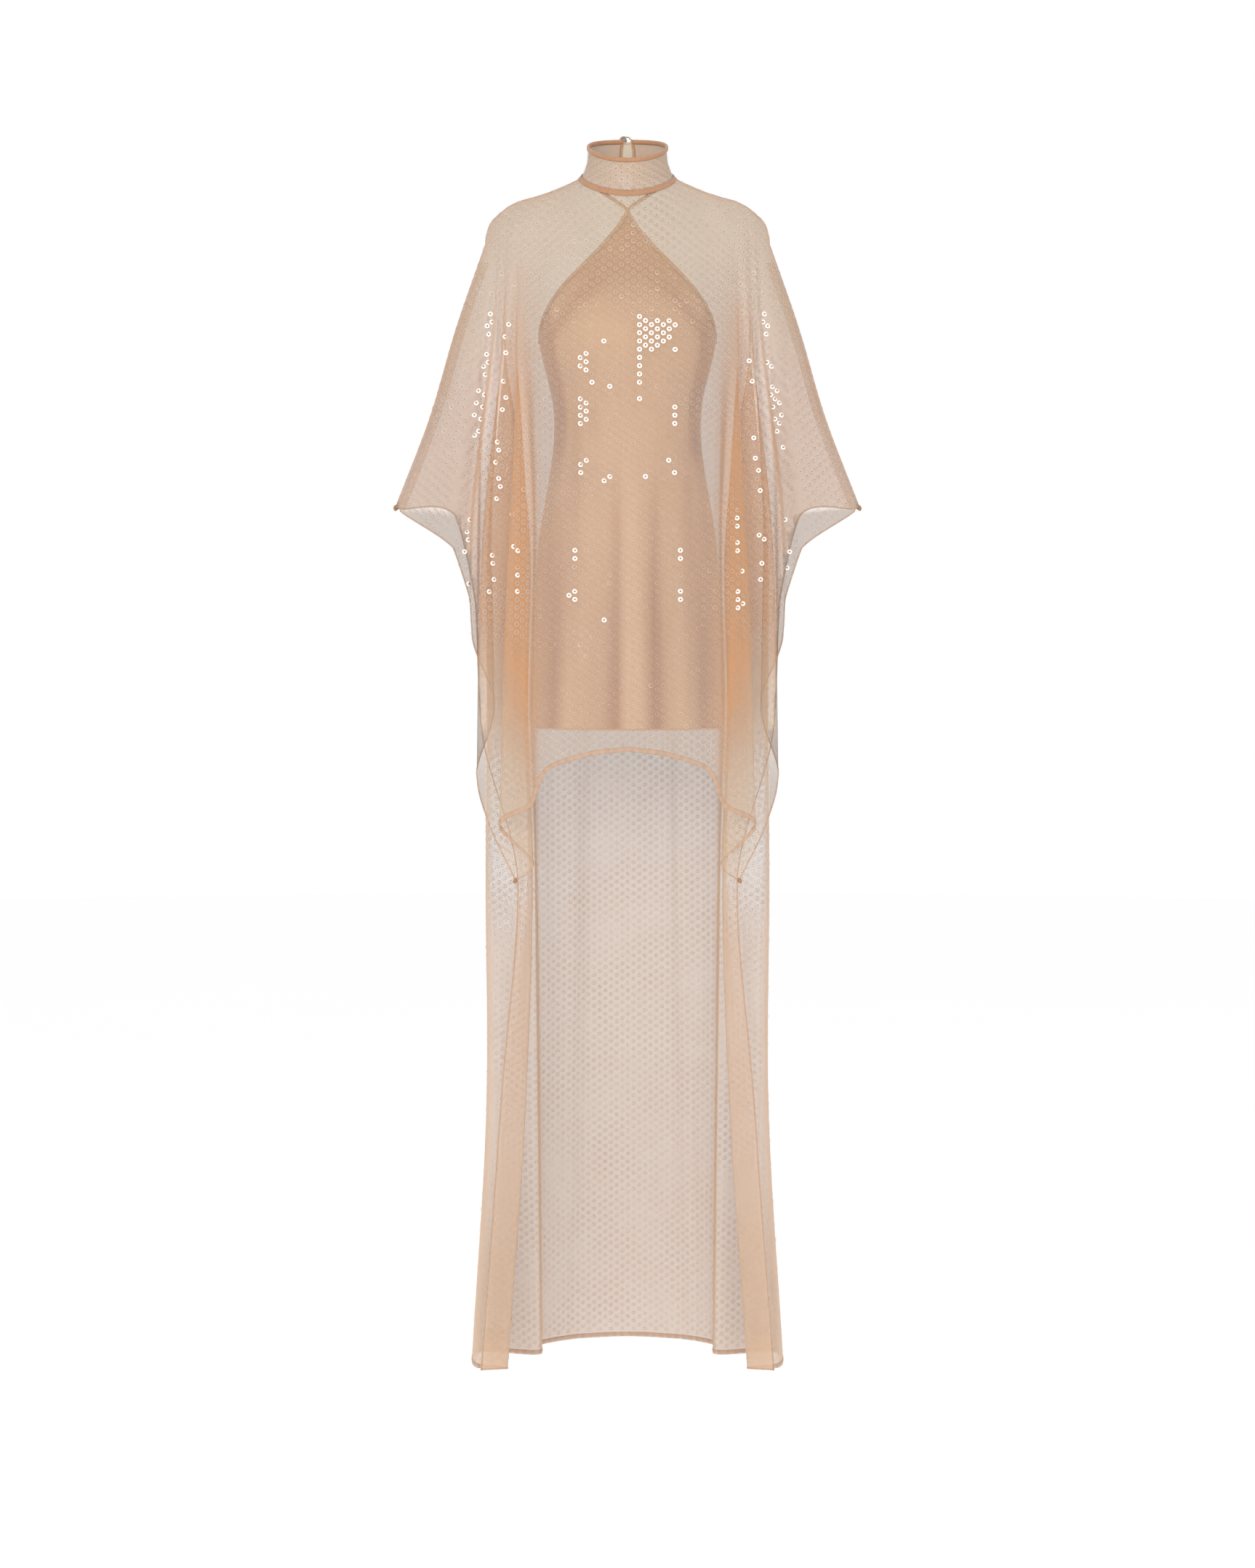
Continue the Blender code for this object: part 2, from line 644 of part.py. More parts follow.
def make_button(material, collection):
    """Round button on the left end of the collar."""
    bpy.ops.mesh.primitive_uv_sphere_add(segments=16, ring_count=8, radius=1.0)
    obj = bpy.context.active_object
    obj.name = "button"
    obj.data.name = "button"
    seat = collar_rim(180.0).y + COLLAR_WALL / 2 + TRIM_WALL + SEAM_GAP
    for vert in obj.data.vertices:
        x, y, z = vert.co
        vert.co = (x * BUTTON_RADIUS, z * BUTTON_THICKNESS / 2, -y * BUTTON_RADIUS)
    obj.location = (BUTTON_X, seat + BUTTON_THICKNESS / 2, BUTTON_Z)
    obj.data.materials.append(material)
    obj.data.shade_smooth()
    for holder in list(obj.users_collection):
        holder.objects.unlink(obj)
    collection.objects.link(obj)


def make_button_loop(material, collection):
    """Loop of thin cord from the right end of the collar round the button."""
    curve = bpy.data.curves.new("button_loop", "CURVE")
    curve.dimensions = "3D"
    curve.bevel_depth = LOOP_RADIUS
    curve.bevel_resolution = 1
    curve.use_fill_caps = True
    seat = collar_rim(180.0).y + COLLAR_WALL / 2 + TRIM_WALL + SEAM_GAP + LOOP_RADIUS
    around = BUTTON_RADIUS + LOOP_RADIUS + SEAM_GAP
    points = [(0.0115, seat, BUTTON_Z + 0.0012)]
    for step in range(13):
        turn = math.radians(60.0 + 240.0 * step / 12)
        points.append((
            BUTTON_X + around * math.cos(turn),
            seat + 0.0006,
            BUTTON_Z + around * math.sin(turn),
        ))
    points.append((0.0115, seat, BUTTON_Z - 0.0012))
    spline = curve.splines.new("POLY")
    spline.points.add(len(points) - 1)
    for knot, point in zip(spline.points, points):
        knot.co = (*point, 1.0)
    curve.materials.append(material)
    obj = bpy.data.objects.new("button_loop", curve)
    collection.objects.link(obj)


def make_keyhole_binding(back, material, collection):
    """Binding round the keyhole, on the outside of the back panel."""
    beside = SHEER_WALL / 2 + SEAM_GAP + YOKE_SLACK + TRIM_WALL / 2
    top_z = neck_seam(180.0).z - NECK_BAND * 0.75
    side_steps, turn_steps = 2, 12
    half_width = KEYHOLE_HALF_WIDTH + KEYHOLE_BINDING / 2
    radius = KEYHOLE_ROUND_RADIUS + KEYHOLE_BINDING / 2
    round_z = KEYHOLE_ROUND_Z
    left = []
    for step in range(side_steps):
        share = step / side_steps
        left.append((-half_width - (radius - half_width) * share, top_z + (round_z - top_z) * share))
    turns = [math.pi * (1.0 + step / turn_steps) for step in range(turn_steps + 1)]
    bottom = [(radius * math.cos(turn), round_z + radius * math.sin(turn)) for turn in turns]
    right = [(-x, z) for x, z in reversed(left)]
    path = []
    for x, z in left + bottom + right:
        point, normal = back.near_centre(x, z)
        path.append((point + normal * beside, normal))
    return ribbon("keyhole_binding", path, KEYHOLE_BINDING, material, collection)


def main():
    clear_scene()
    kaftan = new_collection("kaftan")
    cutters = new_collection("kaftan_cutters")
    sheer = cloth_material("sheer_tulle", SHEER_NUDE, 0.6)
    slip = cloth_material("slip_satin", SLIP_NUDE, 0.55)
    binding = cloth_material("bias_binding", BINDING_TAN, 0.6)
    button = cloth_material("button", BUTTON_BROWN, 0.35)

    front = Panel(FRONT_FOLDS, FRONT_LEVELS, FRONT_ROWS, FRONT_CORNER, -1)
    front.build("front_panel", sheer, kaftan)
    back = Panel(BACK_FOLDS, BACK_LEVELS, BACK_ROWS, BACK_CORNER, 1)
    back_panel = back.build("back_panel", sheer, kaftan)
    keyhole = back_panel.modifiers.new("Keyhole", "BOOLEAN")
    keyhole.operation = "DIFFERENCE"
    keyhole.solver = "EXACT"
    keyhole.object = keyhole_cutter("keyhole_cutter", cutters)

    make_collar(sheer, kaftan)
    make_collar_binding(binding, kaftan)
    make_neck_band(front, back, binding, kaftan)
    make_keyhole_binding(back, binding, kaftan)
    make_slip_half("slip_front", -1, slip, kaftan)
    make_slip_half("slip_back", 1, slip, kaftan)
    ribbon("strap_left", strap_path(-1), STRAP_WIDTH, binding, kaftan)
    ribbon("strap_right", strap_path(1), STRAP_WIDTH, binding, kaftan)
    make_button(button, kaftan)
    make_button_loop(binding, kaftan)


main()
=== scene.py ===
"""Sheer kaftan with an attached slip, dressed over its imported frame.

Cloth, sequins, rolled hems, bindings, slip, button and a plain studio, laid out as an add-on.
Every piece rides on the one body of the frame. Metres, +Z up, the front facing -Y.
"""

import math
import random
from collections import namedtuple
from functools import lru_cache

import bmesh
import bpy
import numpy as np
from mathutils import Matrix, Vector, noise


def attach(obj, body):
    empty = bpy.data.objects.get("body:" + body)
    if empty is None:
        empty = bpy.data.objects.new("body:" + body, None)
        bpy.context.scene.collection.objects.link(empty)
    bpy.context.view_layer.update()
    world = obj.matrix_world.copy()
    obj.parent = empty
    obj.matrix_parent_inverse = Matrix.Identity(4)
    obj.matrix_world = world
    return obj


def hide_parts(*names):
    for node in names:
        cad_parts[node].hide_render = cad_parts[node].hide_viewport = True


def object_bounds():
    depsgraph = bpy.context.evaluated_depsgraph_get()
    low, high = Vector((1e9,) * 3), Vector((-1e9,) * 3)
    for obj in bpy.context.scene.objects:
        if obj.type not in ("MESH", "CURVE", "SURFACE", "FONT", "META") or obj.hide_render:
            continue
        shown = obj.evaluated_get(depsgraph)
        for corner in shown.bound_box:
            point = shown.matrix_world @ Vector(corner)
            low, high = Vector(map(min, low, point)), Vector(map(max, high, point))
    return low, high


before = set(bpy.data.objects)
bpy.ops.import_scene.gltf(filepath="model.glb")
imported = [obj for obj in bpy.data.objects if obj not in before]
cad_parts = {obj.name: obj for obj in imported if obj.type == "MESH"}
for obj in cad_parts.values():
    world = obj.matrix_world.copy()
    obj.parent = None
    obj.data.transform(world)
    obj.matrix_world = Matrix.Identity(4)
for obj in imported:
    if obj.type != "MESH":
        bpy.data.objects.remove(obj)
CAD_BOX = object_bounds()

bl_info = {
    "name": "Sheer kaftan",
    "version": (1, 0, 0),
    "blender": (4, 5, 0),
    "location": "3D View > Sidebar > Kaftan",
    "description": "Builds a sheer sequinned kaftan with its slip, piece by piece",
    "category": "Add Mesh",
}

# Half the gap between the panels along the shoulder
SEAM_GAP = 0.0003

# Both hands, the directions that trims use, and what counts as one place
HANDS = ((-1, "left"), (1, "right"))
UP = Vector((0.0, 0.0, 1.0))
BACKWARDS = Vector((0.0, 1.0, 0.0))
WELD_DISTANCE = 0.00002

# Neck seam and collar: rings of an egg-shaped neck, high at the back
NECK_HALF_WIDTH = 0.069
NECK_HALF_DEPTH = 0.072
NECK_SETBACK = -0.010
NECK_RISE = 0.021
NECK_SADDLE = 0.0045
COLLAR_HALF_WIDTH = 0.0574
COLLAR_HALF_DEPTH = 0.0615
COLLAR_SETBACK = -0.011
COLLAR_HEIGHT = 0.04575
COLLAR_RISE = 0.0215
COLLAR_SADDLE = 0.00225
COLLAR_FOOT = 0.020
COLLAR_BINDING = 0.0070
NECK_BAND = 0.0090
NECK_BAND_LIFT = 0.0013
NECK_BAND_WALL = 0.0009

# Keyhole at the centre back, with its button and loop. Its cloth ends KEYHOLE_EDGE inside the
# binding; net shows behind it up to a share of the collar's height.
KEYHOLE_HALF_WIDTH = 0.00735
KEYHOLE_ROUND_RADIUS = 0.009
KEYHOLE_ROUND_Z = 0.002
KEYHOLE_BINDING = 0.004
KEYHOLE_EDGE = 0.0015
KEYHOLE_NET_TOP = 0.94
KEYHOLE_NET_GRID = (12, 24)
BUTTON_RADIUS = 0.0048
BUTTON_THICKNESS = 0.0042
BUTTON_X = -0.0056
BUTTON_Z = 0.0645
# The button from front to back: share of its radius, and height from -1 to 1
BUTTON_PROFILE = ((0.0, 1.0), (0.30, 0.97), (0.58, 0.84), (0.82, 0.56), (0.95, 0.26), (1.0, 0.0),
                  (0.93, -0.30), (0.74, -0.62), (0.42, -0.86), (0.0, -0.95))
LOOP_RADIUS = 0.0009

# Shoulder seam from the neck to the point of the shoulder: (x, z)
SHOULDER_SEAM = (
    (0.069, 0.0),
    (0.101, -0.0155),
    (0.136, -0.0264),
    (0.162, -0.0340),
    (0.179, -0.0436),
    (0.192, -0.0564),
)
SHOULDER_SEAM_Y = (-0.010, 0.0)

# Level where the yoke ends and the cloth hangs
YOKE_LEVEL = -0.095

# A fold line of a panel, from the centre outwards:
# top is 0 at the centre of the neck, 1 at the side of the neck and 2 at the shoulder point;
# round is how far the cloth domes over the shoulder;
# hem is the height where the line ends; places are its (x, y) at the panel's levels.
# Places below a line's hem only steer the lines beside it.
Fold = namedtuple("Fold", "name top round hem places")

FRONT_LEVELS = (YOKE_LEVEL, -0.216, -0.350, -0.480, -0.700, -0.900)
FRONT_FOLDS = (
    Fold("centre", 0.00, 0.00, -0.830,
         ((0.000, -0.100), (0.000, -0.129), (0.000, -0.126),
          (0.000, -0.127), (0.000, -0.133), (0.000, -0.138))),
    Fold("chest", 0.33, 0.10, -0.838,
         ((0.052, -0.098), (0.062, -0.127), (0.060, -0.122),
          (0.058, -0.122), (0.058, -0.128), (0.058, -0.134))),
    Fold("side_chest", 0.67, 0.30, -0.860,
         ((0.098, -0.088), (0.108, -0.116), (0.106, -0.114),
          (0.104, -0.114), (0.110, -0.121), (0.117, -0.125))),
    Fold("first_crest", 1.00, 0.60, -0.908,
         ((0.128, -0.076), (0.138, -0.098), (0.137, -0.105),
          (0.136, -0.110), (0.151, -0.115), (0.137, -0.120))),
    Fold("outer_crest", 1.21, 0.80, -0.940,
         ((0.146, -0.068), (0.156, -0.078), (0.162, -0.081),
          (0.168, -0.084), (0.178, -0.092), (0.183, -0.096))),
    Fold("inner_valley", 1.37, 0.85, -0.998,
         ((0.157, -0.061), (0.163, -0.066), (0.154, -0.064),
          (0.146, -0.064), (0.146, -0.070), (0.139, -0.076))),
    Fold("corner", 1.50, 0.85, -1.023,
         ((0.165, -0.056), (0.170, -0.066), (0.171, -0.063),
          (0.172, -0.060), (0.170, -0.062), (0.165, -0.067))),
    Fold("corner_crest", 1.57, 0.85, -0.942,
         ((0.169, -0.053), (0.174, -0.064), (0.183, -0.062),
          (0.192, -0.058), (0.199, -0.058), (0.201, -0.060))),
    Fold("low_crest", 1.64, 0.85, -0.872,
         ((0.172, -0.050), (0.177, -0.060), (0.192, -0.055),
          (0.207, -0.048), (0.216, -0.050), (0.219, -0.052))),
    Fold("low_valley", 1.72, 0.85, -0.770,
         ((0.178, -0.043), (0.182, -0.048), (0.190, -0.039),
          (0.197, -0.030), (0.195, -0.025), (0.193, -0.022))),
    Fold("mid_crest", 1.81, 0.85, -0.672,
         ((0.184, -0.038), (0.190, -0.050), (0.205, -0.043),
          (0.220, -0.034), (0.228, -0.021), (0.234, -0.012))),
    Fold("mid_valley", 1.86, 0.85, -0.612,
         ((0.189, -0.032), (0.197, -0.038), (0.214, -0.027),
          (0.230, -0.016), (0.230, -0.016))),
    Fold("top_crest", 1.91, 0.85, -0.540,
         ((0.195, -0.025), (0.208, -0.040), (0.229, -0.031),
          (0.249, -0.022), (0.266, -0.012))),
    Fold("sleeve_front", 1.96, 0.85, -0.487,
         ((0.206, -0.007), (0.245, -0.013), (0.283, -0.021), (0.329, -0.027))),
    Fold("ridge", 2.00, 0.85, -0.482,
         ((0.208, -0.0004), (0.250, -0.0004), (0.289, -0.0094), (0.338, -0.0206))),
)

BACK_LEVELS = (YOKE_LEVEL, -0.216, -0.350, -0.480, -0.803, -1.019, -1.340, -1.721)
BACK_FOLDS = (
    Fold("centre", 0.00, 0.10, -1.721,
         ((0.000, 0.098), (0.000, 0.113), (0.000, 0.110), (0.000, 0.112),
          (0.000, 0.120), (0.000, 0.126), (0.000, 0.133), (0.000, 0.140))),
    Fold("blade", 0.33, 0.20, -1.721,
         ((0.052, 0.097), (0.062, 0.112), (0.058, 0.110), (0.054, 0.113),
          (0.053, 0.122), (0.056, 0.126), (0.062, 0.127), (0.070, 0.125))),
    Fold("soft_valley", 0.52, 0.30, -1.721,
         ((0.078, 0.092), (0.087, 0.105), (0.084, 0.099), (0.080, 0.098),
          (0.080, 0.104), (0.082, 0.108), (0.084, 0.114), (0.091, 0.114))),
    Fold("side_blade", 0.70, 0.42, -1.721,
         ((0.101, 0.086), (0.112, 0.101), (0.109, 0.099), (0.107, 0.099),
          (0.108, 0.104), (0.109, 0.106), (0.107, 0.105), (0.106, 0.103))),
    Fold("first_crest", 1.00, 0.65, -1.721,
         ((0.128, 0.075), (0.138, 0.088), (0.137, 0.086), (0.136, 0.085),
          (0.136, 0.086), (0.136, 0.086), (0.132, 0.082), (0.128, 0.078))),
    Fold("inner_valley", 1.21, 0.80, -1.721,
         ((0.146, 0.067), (0.157, 0.074), (0.150, 0.062), (0.142, 0.052),
          (0.146, 0.042), (0.137, 0.030), (0.133, 0.022), (0.130, 0.013))),
    Fold("back_crest", 1.37, 0.85, -1.721,
         ((0.161, 0.061), (0.172, 0.067), (0.187, 0.064), (0.202, 0.062),
          (0.204, 0.046), (0.202, 0.034), (0.196, 0.031), (0.215, 0.028))),
    Fold("front_crest", 1.50, 0.85, -1.721,
         ((0.167, 0.058), (0.179, 0.058), (0.190, 0.050), (0.200, 0.044),
          (0.203, 0.018), (0.202, -0.012), (0.198, -0.046), (0.216, -0.078))),
    Fold("front_valley", 1.62, 0.85, -1.721,
         ((0.173, 0.054), (0.183, 0.050), (0.166, 0.046), (0.148, 0.044),
          (0.148, 0.022), (0.139, -0.018), (0.147, -0.056), (0.172, -0.092))),
    Fold("corner", 1.70, 0.85, -1.721,
         ((0.178, 0.050), (0.188, 0.046), (0.171, 0.038), (0.153, 0.031),
          (0.150, 0.006), (0.145, -0.036), (0.170, -0.070), (0.211, -0.103))),
    Fold("side_edge", 1.76, 0.85, -1.400,
         ((0.181, 0.047), (0.191, 0.044), (0.177, 0.036), (0.163, 0.028),
          (0.160, 0.003), (0.153, -0.040), (0.182, -0.074), (0.222, -0.106))),
    Fold("edge_valley", 1.81, 0.85, -1.015,
         ((0.184, 0.044), (0.194, 0.041), (0.184, 0.033), (0.174, 0.025),
          (0.173, 0.001), (0.161, -0.044), (0.194, -0.078))),
    Fold("low_crest", 1.86, 0.85, -0.800,
         ((0.189, 0.038), (0.207, 0.036), (0.211, 0.029), (0.214, 0.022),
          (0.216, 0.000), (0.220, -0.040), (0.240, -0.080))),
    Fold("mid_crest", 1.90, 0.85, -0.620,
         ((0.194, 0.032), (0.216, 0.030), (0.220, 0.020), (0.222, 0.010), (0.226, -0.006))),
    Fold("top_crest", 1.94, 0.85, -0.492,
         ((0.200, 0.024), (0.233, 0.022), (0.242, 0.016), (0.253, 0.008))),
    Fold("sleeve_back", 1.97, 0.85, -0.484,
         ((0.206, 0.007), (0.246, 0.013), (0.282, 0.002), (0.329, -0.013))),
    Fold("ridge", 2.00, 0.85, -0.482,
         ((0.208, 0.0004), (0.250, 0.0004), (0.289, -0.0086), (0.338, -0.0192))),
)

# How the cloth looks from fold to fold: the share of the folds' colour, partly painted shade, how
# many more threads cover it, and the share of the pale tint, which is painted light. Numbers are
# those of the folds, as in the creases.
Tint = namedtuple("Tint", "number depth cover pale")
FRONT_TINTS = (
    Tint(1.6, 0.00, 0.00, 0.0),
    Tint(2.6, 0.22, 0.00, 0.0),
    Tint(3.4, 0.75, 0.10, 0.0),
    Tint(5.5, 1.00, 0.30, 0.0),
    Tint(7.0, 0.85, 0.10, 0.0),
    Tint(9.0, 0.60, 0.00, 0.0),
    Tint(12.0, 0.45, 0.00, 0.0),
    Tint(13.0, 0.25, 0.10, 0.0),
    Tint(14.0, 0.15, 0.16, 0.0),
)
BACK_TINTS = (
    Tint(4.0, 0.0, 0.00, 0.0),
    Tint(6.0, 0.1, 0.00, 0.0),
    Tint(6.6, 0.0, -0.62, 1.0),
    Tint(8.0, 0.1, -0.62, 1.0),
    Tint(8.2, 0.9, -0.50, 0.2),
    Tint(10.0, 0.9, -0.50, 0.2),
    Tint(12.5, 0.8, -0.45, 0.2),
    Tint(13.5, 0.2, 0.00, 0.0),
)

# Painted shade that deepens the front's colour and cover where it lies over most layers, beside the
# slip, and where it closes on the slip's side
Shade = namedtuple("Shade", "number spread z height strength")
SIDE_SHADES = (
    Shade(5.2, 0.9, -0.56, 0.19, 1.35),
    Shade(3.6, 0.6, -0.52, 0.15, 0.50),
    Shade(2.8, 0.4, -0.72, 0.17, 0.70),
)

SLIP_APEX_Z = -0.053
SLIP_SIDE_TOP_Z = -0.240
SLIP_BACK_TOP_Z = -0.262
SLIP_HEM_Z = -0.803
SLIP_EDGE_CURVE = 0.79
SLIP_BUST_FULLNESS = 0.0050

# Sections of the slip: height, half width, depth in front of the seams and behind them
SlipSection = namedtuple("SlipSection", "name z half_width front back")
SLIP_SECTIONS = (
    SlipSection("throat", SLIP_APEX_Z, 0.110, 0.0800, 0.070),
    SlipSection("collarbone", -0.100, 0.119, 0.0950, 0.082),
    SlipSection("chest", -0.150, 0.128, 0.1050, 0.090),
    SlipSection("bust", -0.233, 0.129, 0.1160, 0.088),
    SlipSection("waist", -0.335, 0.108, 0.1040, 0.066),
    SlipSection("hip", -0.550, 0.131, 0.1080, 0.100),
    SlipSection("hem", SLIP_HEM_Z, 0.139, 0.1120, 0.104),
)

# Soft vertical folds of the slip, growing from top to the hem: side, angle at the top in
# degrees from the centre, how far it sways, width in degrees and depth
SlipFold = namedtuple("SlipFold", "side angle sway top width depth")
SLIP_FOLDS = (
    SlipFold(-1, -8.0, -1.0, -0.40, 5.0, -0.0040),
    SlipFold(-1, 2.0, 2.0, -0.36, 6.0, 0.0034),
    SlipFold(-1, 15.0, 3.0, -0.38, 5.5, -0.0046),
    SlipFold(-1, 33.0, 4.0, -0.42, 8.0, 0.0030),
    SlipFold(-1, -30.0, -5.0, -0.40, 8.0, 0.0034),
    SlipFold(-1, 52.0, 2.0, -0.45, 7.0, -0.0030),
    SlipFold(-1, -50.0, -3.0, -0.44, 7.0, -0.0032),
    SlipFold(1, 5.0, 3.0, -0.38, 8.0, 0.0040),
    SlipFold(1, -22.0, -4.0, -0.40, 7.0, -0.0036),
    SlipFold(1, 30.0, 5.0, -0.42, 7.0, -0.0040),
    SlipFold(1, -48.0, -3.0, -0.44, 8.0, 0.0034),
    SlipFold(1, 56.0, 2.0, -0.46, 8.0, 0.0030),
)

# Soft upright bands of the slip with painted shade where depth is above 0 and painted light where
# it is below: side, x, top, half width and depth
SlipShade = namedtuple("SlipShade", "side x top half_width depth")
SLIP_SHADES = (
    SlipShade(-1, -0.0165, -0.40, 0.0055, 0.30),
    SlipShade(-1, 0.0070, -0.38, 0.0130, -0.18),
    SlipShade(-1, 0.0390, -0.40, 0.0065, 0.34),
    SlipShade(-1, -0.0740, -0.30, 0.0080, 0.18),
    SlipShade(-1, -0.1080, -0.42, 0.0130, 0.10),
    SlipShade(-1, 0.0860, -0.34, 0.0080, 0.22),
    SlipShade(-1, 0.1120, -0.40, 0.0100, 0.08),
)

# Bias binding of the slip's top edge, which runs on as a strap to the neck seam
STRAP_SEAT = 0.0015
STRAP_TOP_ANGLE = 35.0
STRAP_TOP_INSET = 0.0016
STRAP_CROSSING_LIFT = 0.0022

# Soft creases between the folds. at_top and at_bottom are fold numbers with their share, as
# 1.5 is halfway from fold 1 to fold 2; hand is the side they lie on, 0 for both;
# width is in the same numbers and depth in metres, above 0 for a ridge and below for a trough
Crease = namedtuple("Crease", "hand at_top at_bottom top bottom width depth")

FRONT_CREASES = (
    Crease(-1, 0.30, 0.27, -0.30, -0.86, 0.13, 0.0020),
    Crease(-1, 0.62, 0.66, -0.24, -0.70, 0.15, -0.0013),
    Crease(1, 0.62, 0.74, -0.20, -0.88, 0.14, 0.0025),
    Crease(1, 0.20, 0.16, -0.36, -0.80, 0.12, -0.0012),
    Crease(-1, 1.30, 1.12, -0.12, -0.60, 0.17, -0.0018),
    Crease(1, 1.42, 1.60, -0.16, -0.72, 0.15, 0.0018),
    Crease(-1, 1.75, 1.86, -0.32, -0.92, 0.14, 0.0022),
    Crease(1, 2.05, 1.95, -0.40, -0.90, 0.13, -0.0016),
    Crease(-1, 2.50, 2.36, -0.10, -0.55, 0.15, 0.0017),
    Crease(1, 2.55, 2.62, -0.22, -0.80, 0.13, 0.0018),
    Crease(0, 3.50, 3.42, -0.28, -0.95, 0.14, 0.0023),
    Crease(-1, 4.45, 4.50, -0.20, -0.80, 0.16, 0.0020),
    Crease(1, 4.55, 4.48, -0.30, -0.90, 0.16, 0.0020),
    Crease(0, 8.45, 8.55, -0.30, -0.75, 0.18, 0.0016),
    Crease(-1, 12.45, 12.55, -0.14, -0.52, 0.15, 0.0023),
    Crease(1, 12.55, 12.42, -0.18, -0.50, 0.13, -0.0022),
    Crease(0, 13.40, 13.50, -0.30, -0.50, 0.16, 0.0018),
)
BACK_CREASES = (
    Crease(-1, 0.45, 0.30, -0.14, -1.10, 0.16, 0.0014),
    Crease(1, 0.60, 0.75, -0.20, -1.50, 0.18, -0.0013),
    Crease(-1, 0.85, 1.05, -0.60, -1.74, 0.20, 0.0015),
    Crease(1, 0.20, 0.05, -0.50, -1.30, 0.14, 0.0012),
    Crease(-1, 1.50, 1.40, -0.12, -0.80, 0.20, -0.0012),
    Crease(1, 1.60, 1.35, -0.16, -1.00, 0.20, 0.0013),
    Crease(-1, 2.60, 2.45, -0.20, -1.20, 0.22, 0.0010),
    Crease(1, 2.40, 2.60, -0.40, -1.60, 0.20, 0.0012),
    Crease(0, 3.50, 3.45, -0.30, -1.20, 0.18, -0.0018),
    Crease(-1, 4.50, 4.40, -0.40, -1.70, 0.16, 0.0021),
    Crease(1, 4.40, 4.55, -0.60, -1.74, 0.16, 0.0022),
    Crease(0, 6.50, 6.45, -0.80, -1.74, 0.16, 0.0017),
    Crease(0, 7.50, 7.55, -1.00, -1.74, 0.15, 0.0015),
    Crease(-1, 14.50, 14.40, -0.14, -0.46, 0.16, 0.0017),
    Crease(1, 14.45, 14.55, -0.18, -0.48, 0.16, -0.0015),
)

# Grids of the cloths: for a panel its columns between two folds, its rows on the yoke and its
# rows below; for the slip and the collar columns and rows
FRONT_GRID = (9, 26, 84)
BACK_GRID = (9, 34, 128)
SLIP_GRID = (56, 72)
COLLAR_GRID = (120, 14)

# Steps of a hem's path between two folds and of a seam's path over half the slip
EDGE_STEPS = 18
SLIP_STEPS = range(-60, 61)

# Sequins: corners of a disc, how far it stands off the cloth and how far its middle stands out,
# how far above the hem a sequin and the lowest row may lie, and their rows on the collar
SEQUIN_CORNERS = 10
SEQUIN_LIFT = 0.0006
SEQUIN_DOME = 0.0002
SEQUIN_HEM_GAP = 0.0055
SEQUIN_LOWEST_ROW = 0.006
COLLAR_ROWS = 9

# Shining sequins: how far apart they are at least, how much their cloth faces the front and
# how unevenly they lie beside the others
GLINT_SPACING = 0.0085
GLINT_FACING = -0.55
GLINT_TILT = 0.2

# Sewn details: thickness of a hem and how far it lies inside the edge, the cord of a side seam,
# the width, thickness and inset of its allowance, and the space between two stitches
HEM_THICKNESS = 0.0015
HEM_INSET = 0.0015
SEAM_CORD = 0.0017
ALLOWANCE_WIDTH = 0.0120
ALLOWANCE_THICKNESS = 0.0005
ALLOWANCE_INSET = 0.0085
STITCH_GAP = 0.0011

# Stitch from end to end: share of its length, of its half width and of its height
STITCH_PROFILE = ((0.0, 0.3, 0.1), (0.3, 1.0, 0.9), (0.7, 1.0, 0.9), (1.0, 0.3, 0.1))

# Pitch of the net's threads, the slip's twill and a binding's weave
NET_PITCH = 0.0011
TWILL_PITCH = 0.0009
WEAVE_PITCH = 0.0006

# A crease fades out past its lower end, at this share of its length
CREASE_END = 1.35

# Heights from which the front falls in cascades, its corners and outer flutes turn to the light and
# the tail comes out below the front. The cascades and corners take the pale tint, painted light,
# and the corners less of the folds' colour.
CASCADE_TOP = -0.76
CORNER_TOP = -0.63
TAIL_TOP = -0.78

# Places on the front where the cloth turns its foremost sequins to the key lamp. Each is an
# Each is an upright strip round (x, z) that leans by lean metres per metre of height; share is how
# many of its sequins shine, with a painted highlight besides their reflection. Those of the sleeves
# are on both hands.
Glint = namedtuple("Glint", "x z lean half_width half_height share")
SLEEVE_GLINTS = (
    Glint(0.203, -0.137, 0.00, 0.0044, 0.0053, 1.00),
    Glint(0.201, -0.210, -0.08, 0.0048, 0.0222, 0.92),
    Glint(0.205, -0.271, -0.10, 0.0048, 0.0222, 0.62),
    Glint(0.212, -0.350, -0.08, 0.0049, 0.0550, 0.95),
    Glint(0.221, -0.348, -0.09, 0.0038, 0.0508, 0.72),
    Glint(0.179, -0.279, -0.04, 0.0053, 0.0696, 0.34),
    Glint(0.187, -0.426, -0.09, 0.0053, 0.0474, 0.42),
    Glint(0.232, -0.520, -0.09, 0.0048, 0.0307, 0.60),
    Glint(0.195, -0.559, -0.04, 0.0063, 0.0494, 0.38),
    Glint(0.161, -0.557, 0.04, 0.0068, 0.0721, 0.40),
    Glint(0.236, -0.588, 0.02, 0.0048, 0.0222, 0.45),
)
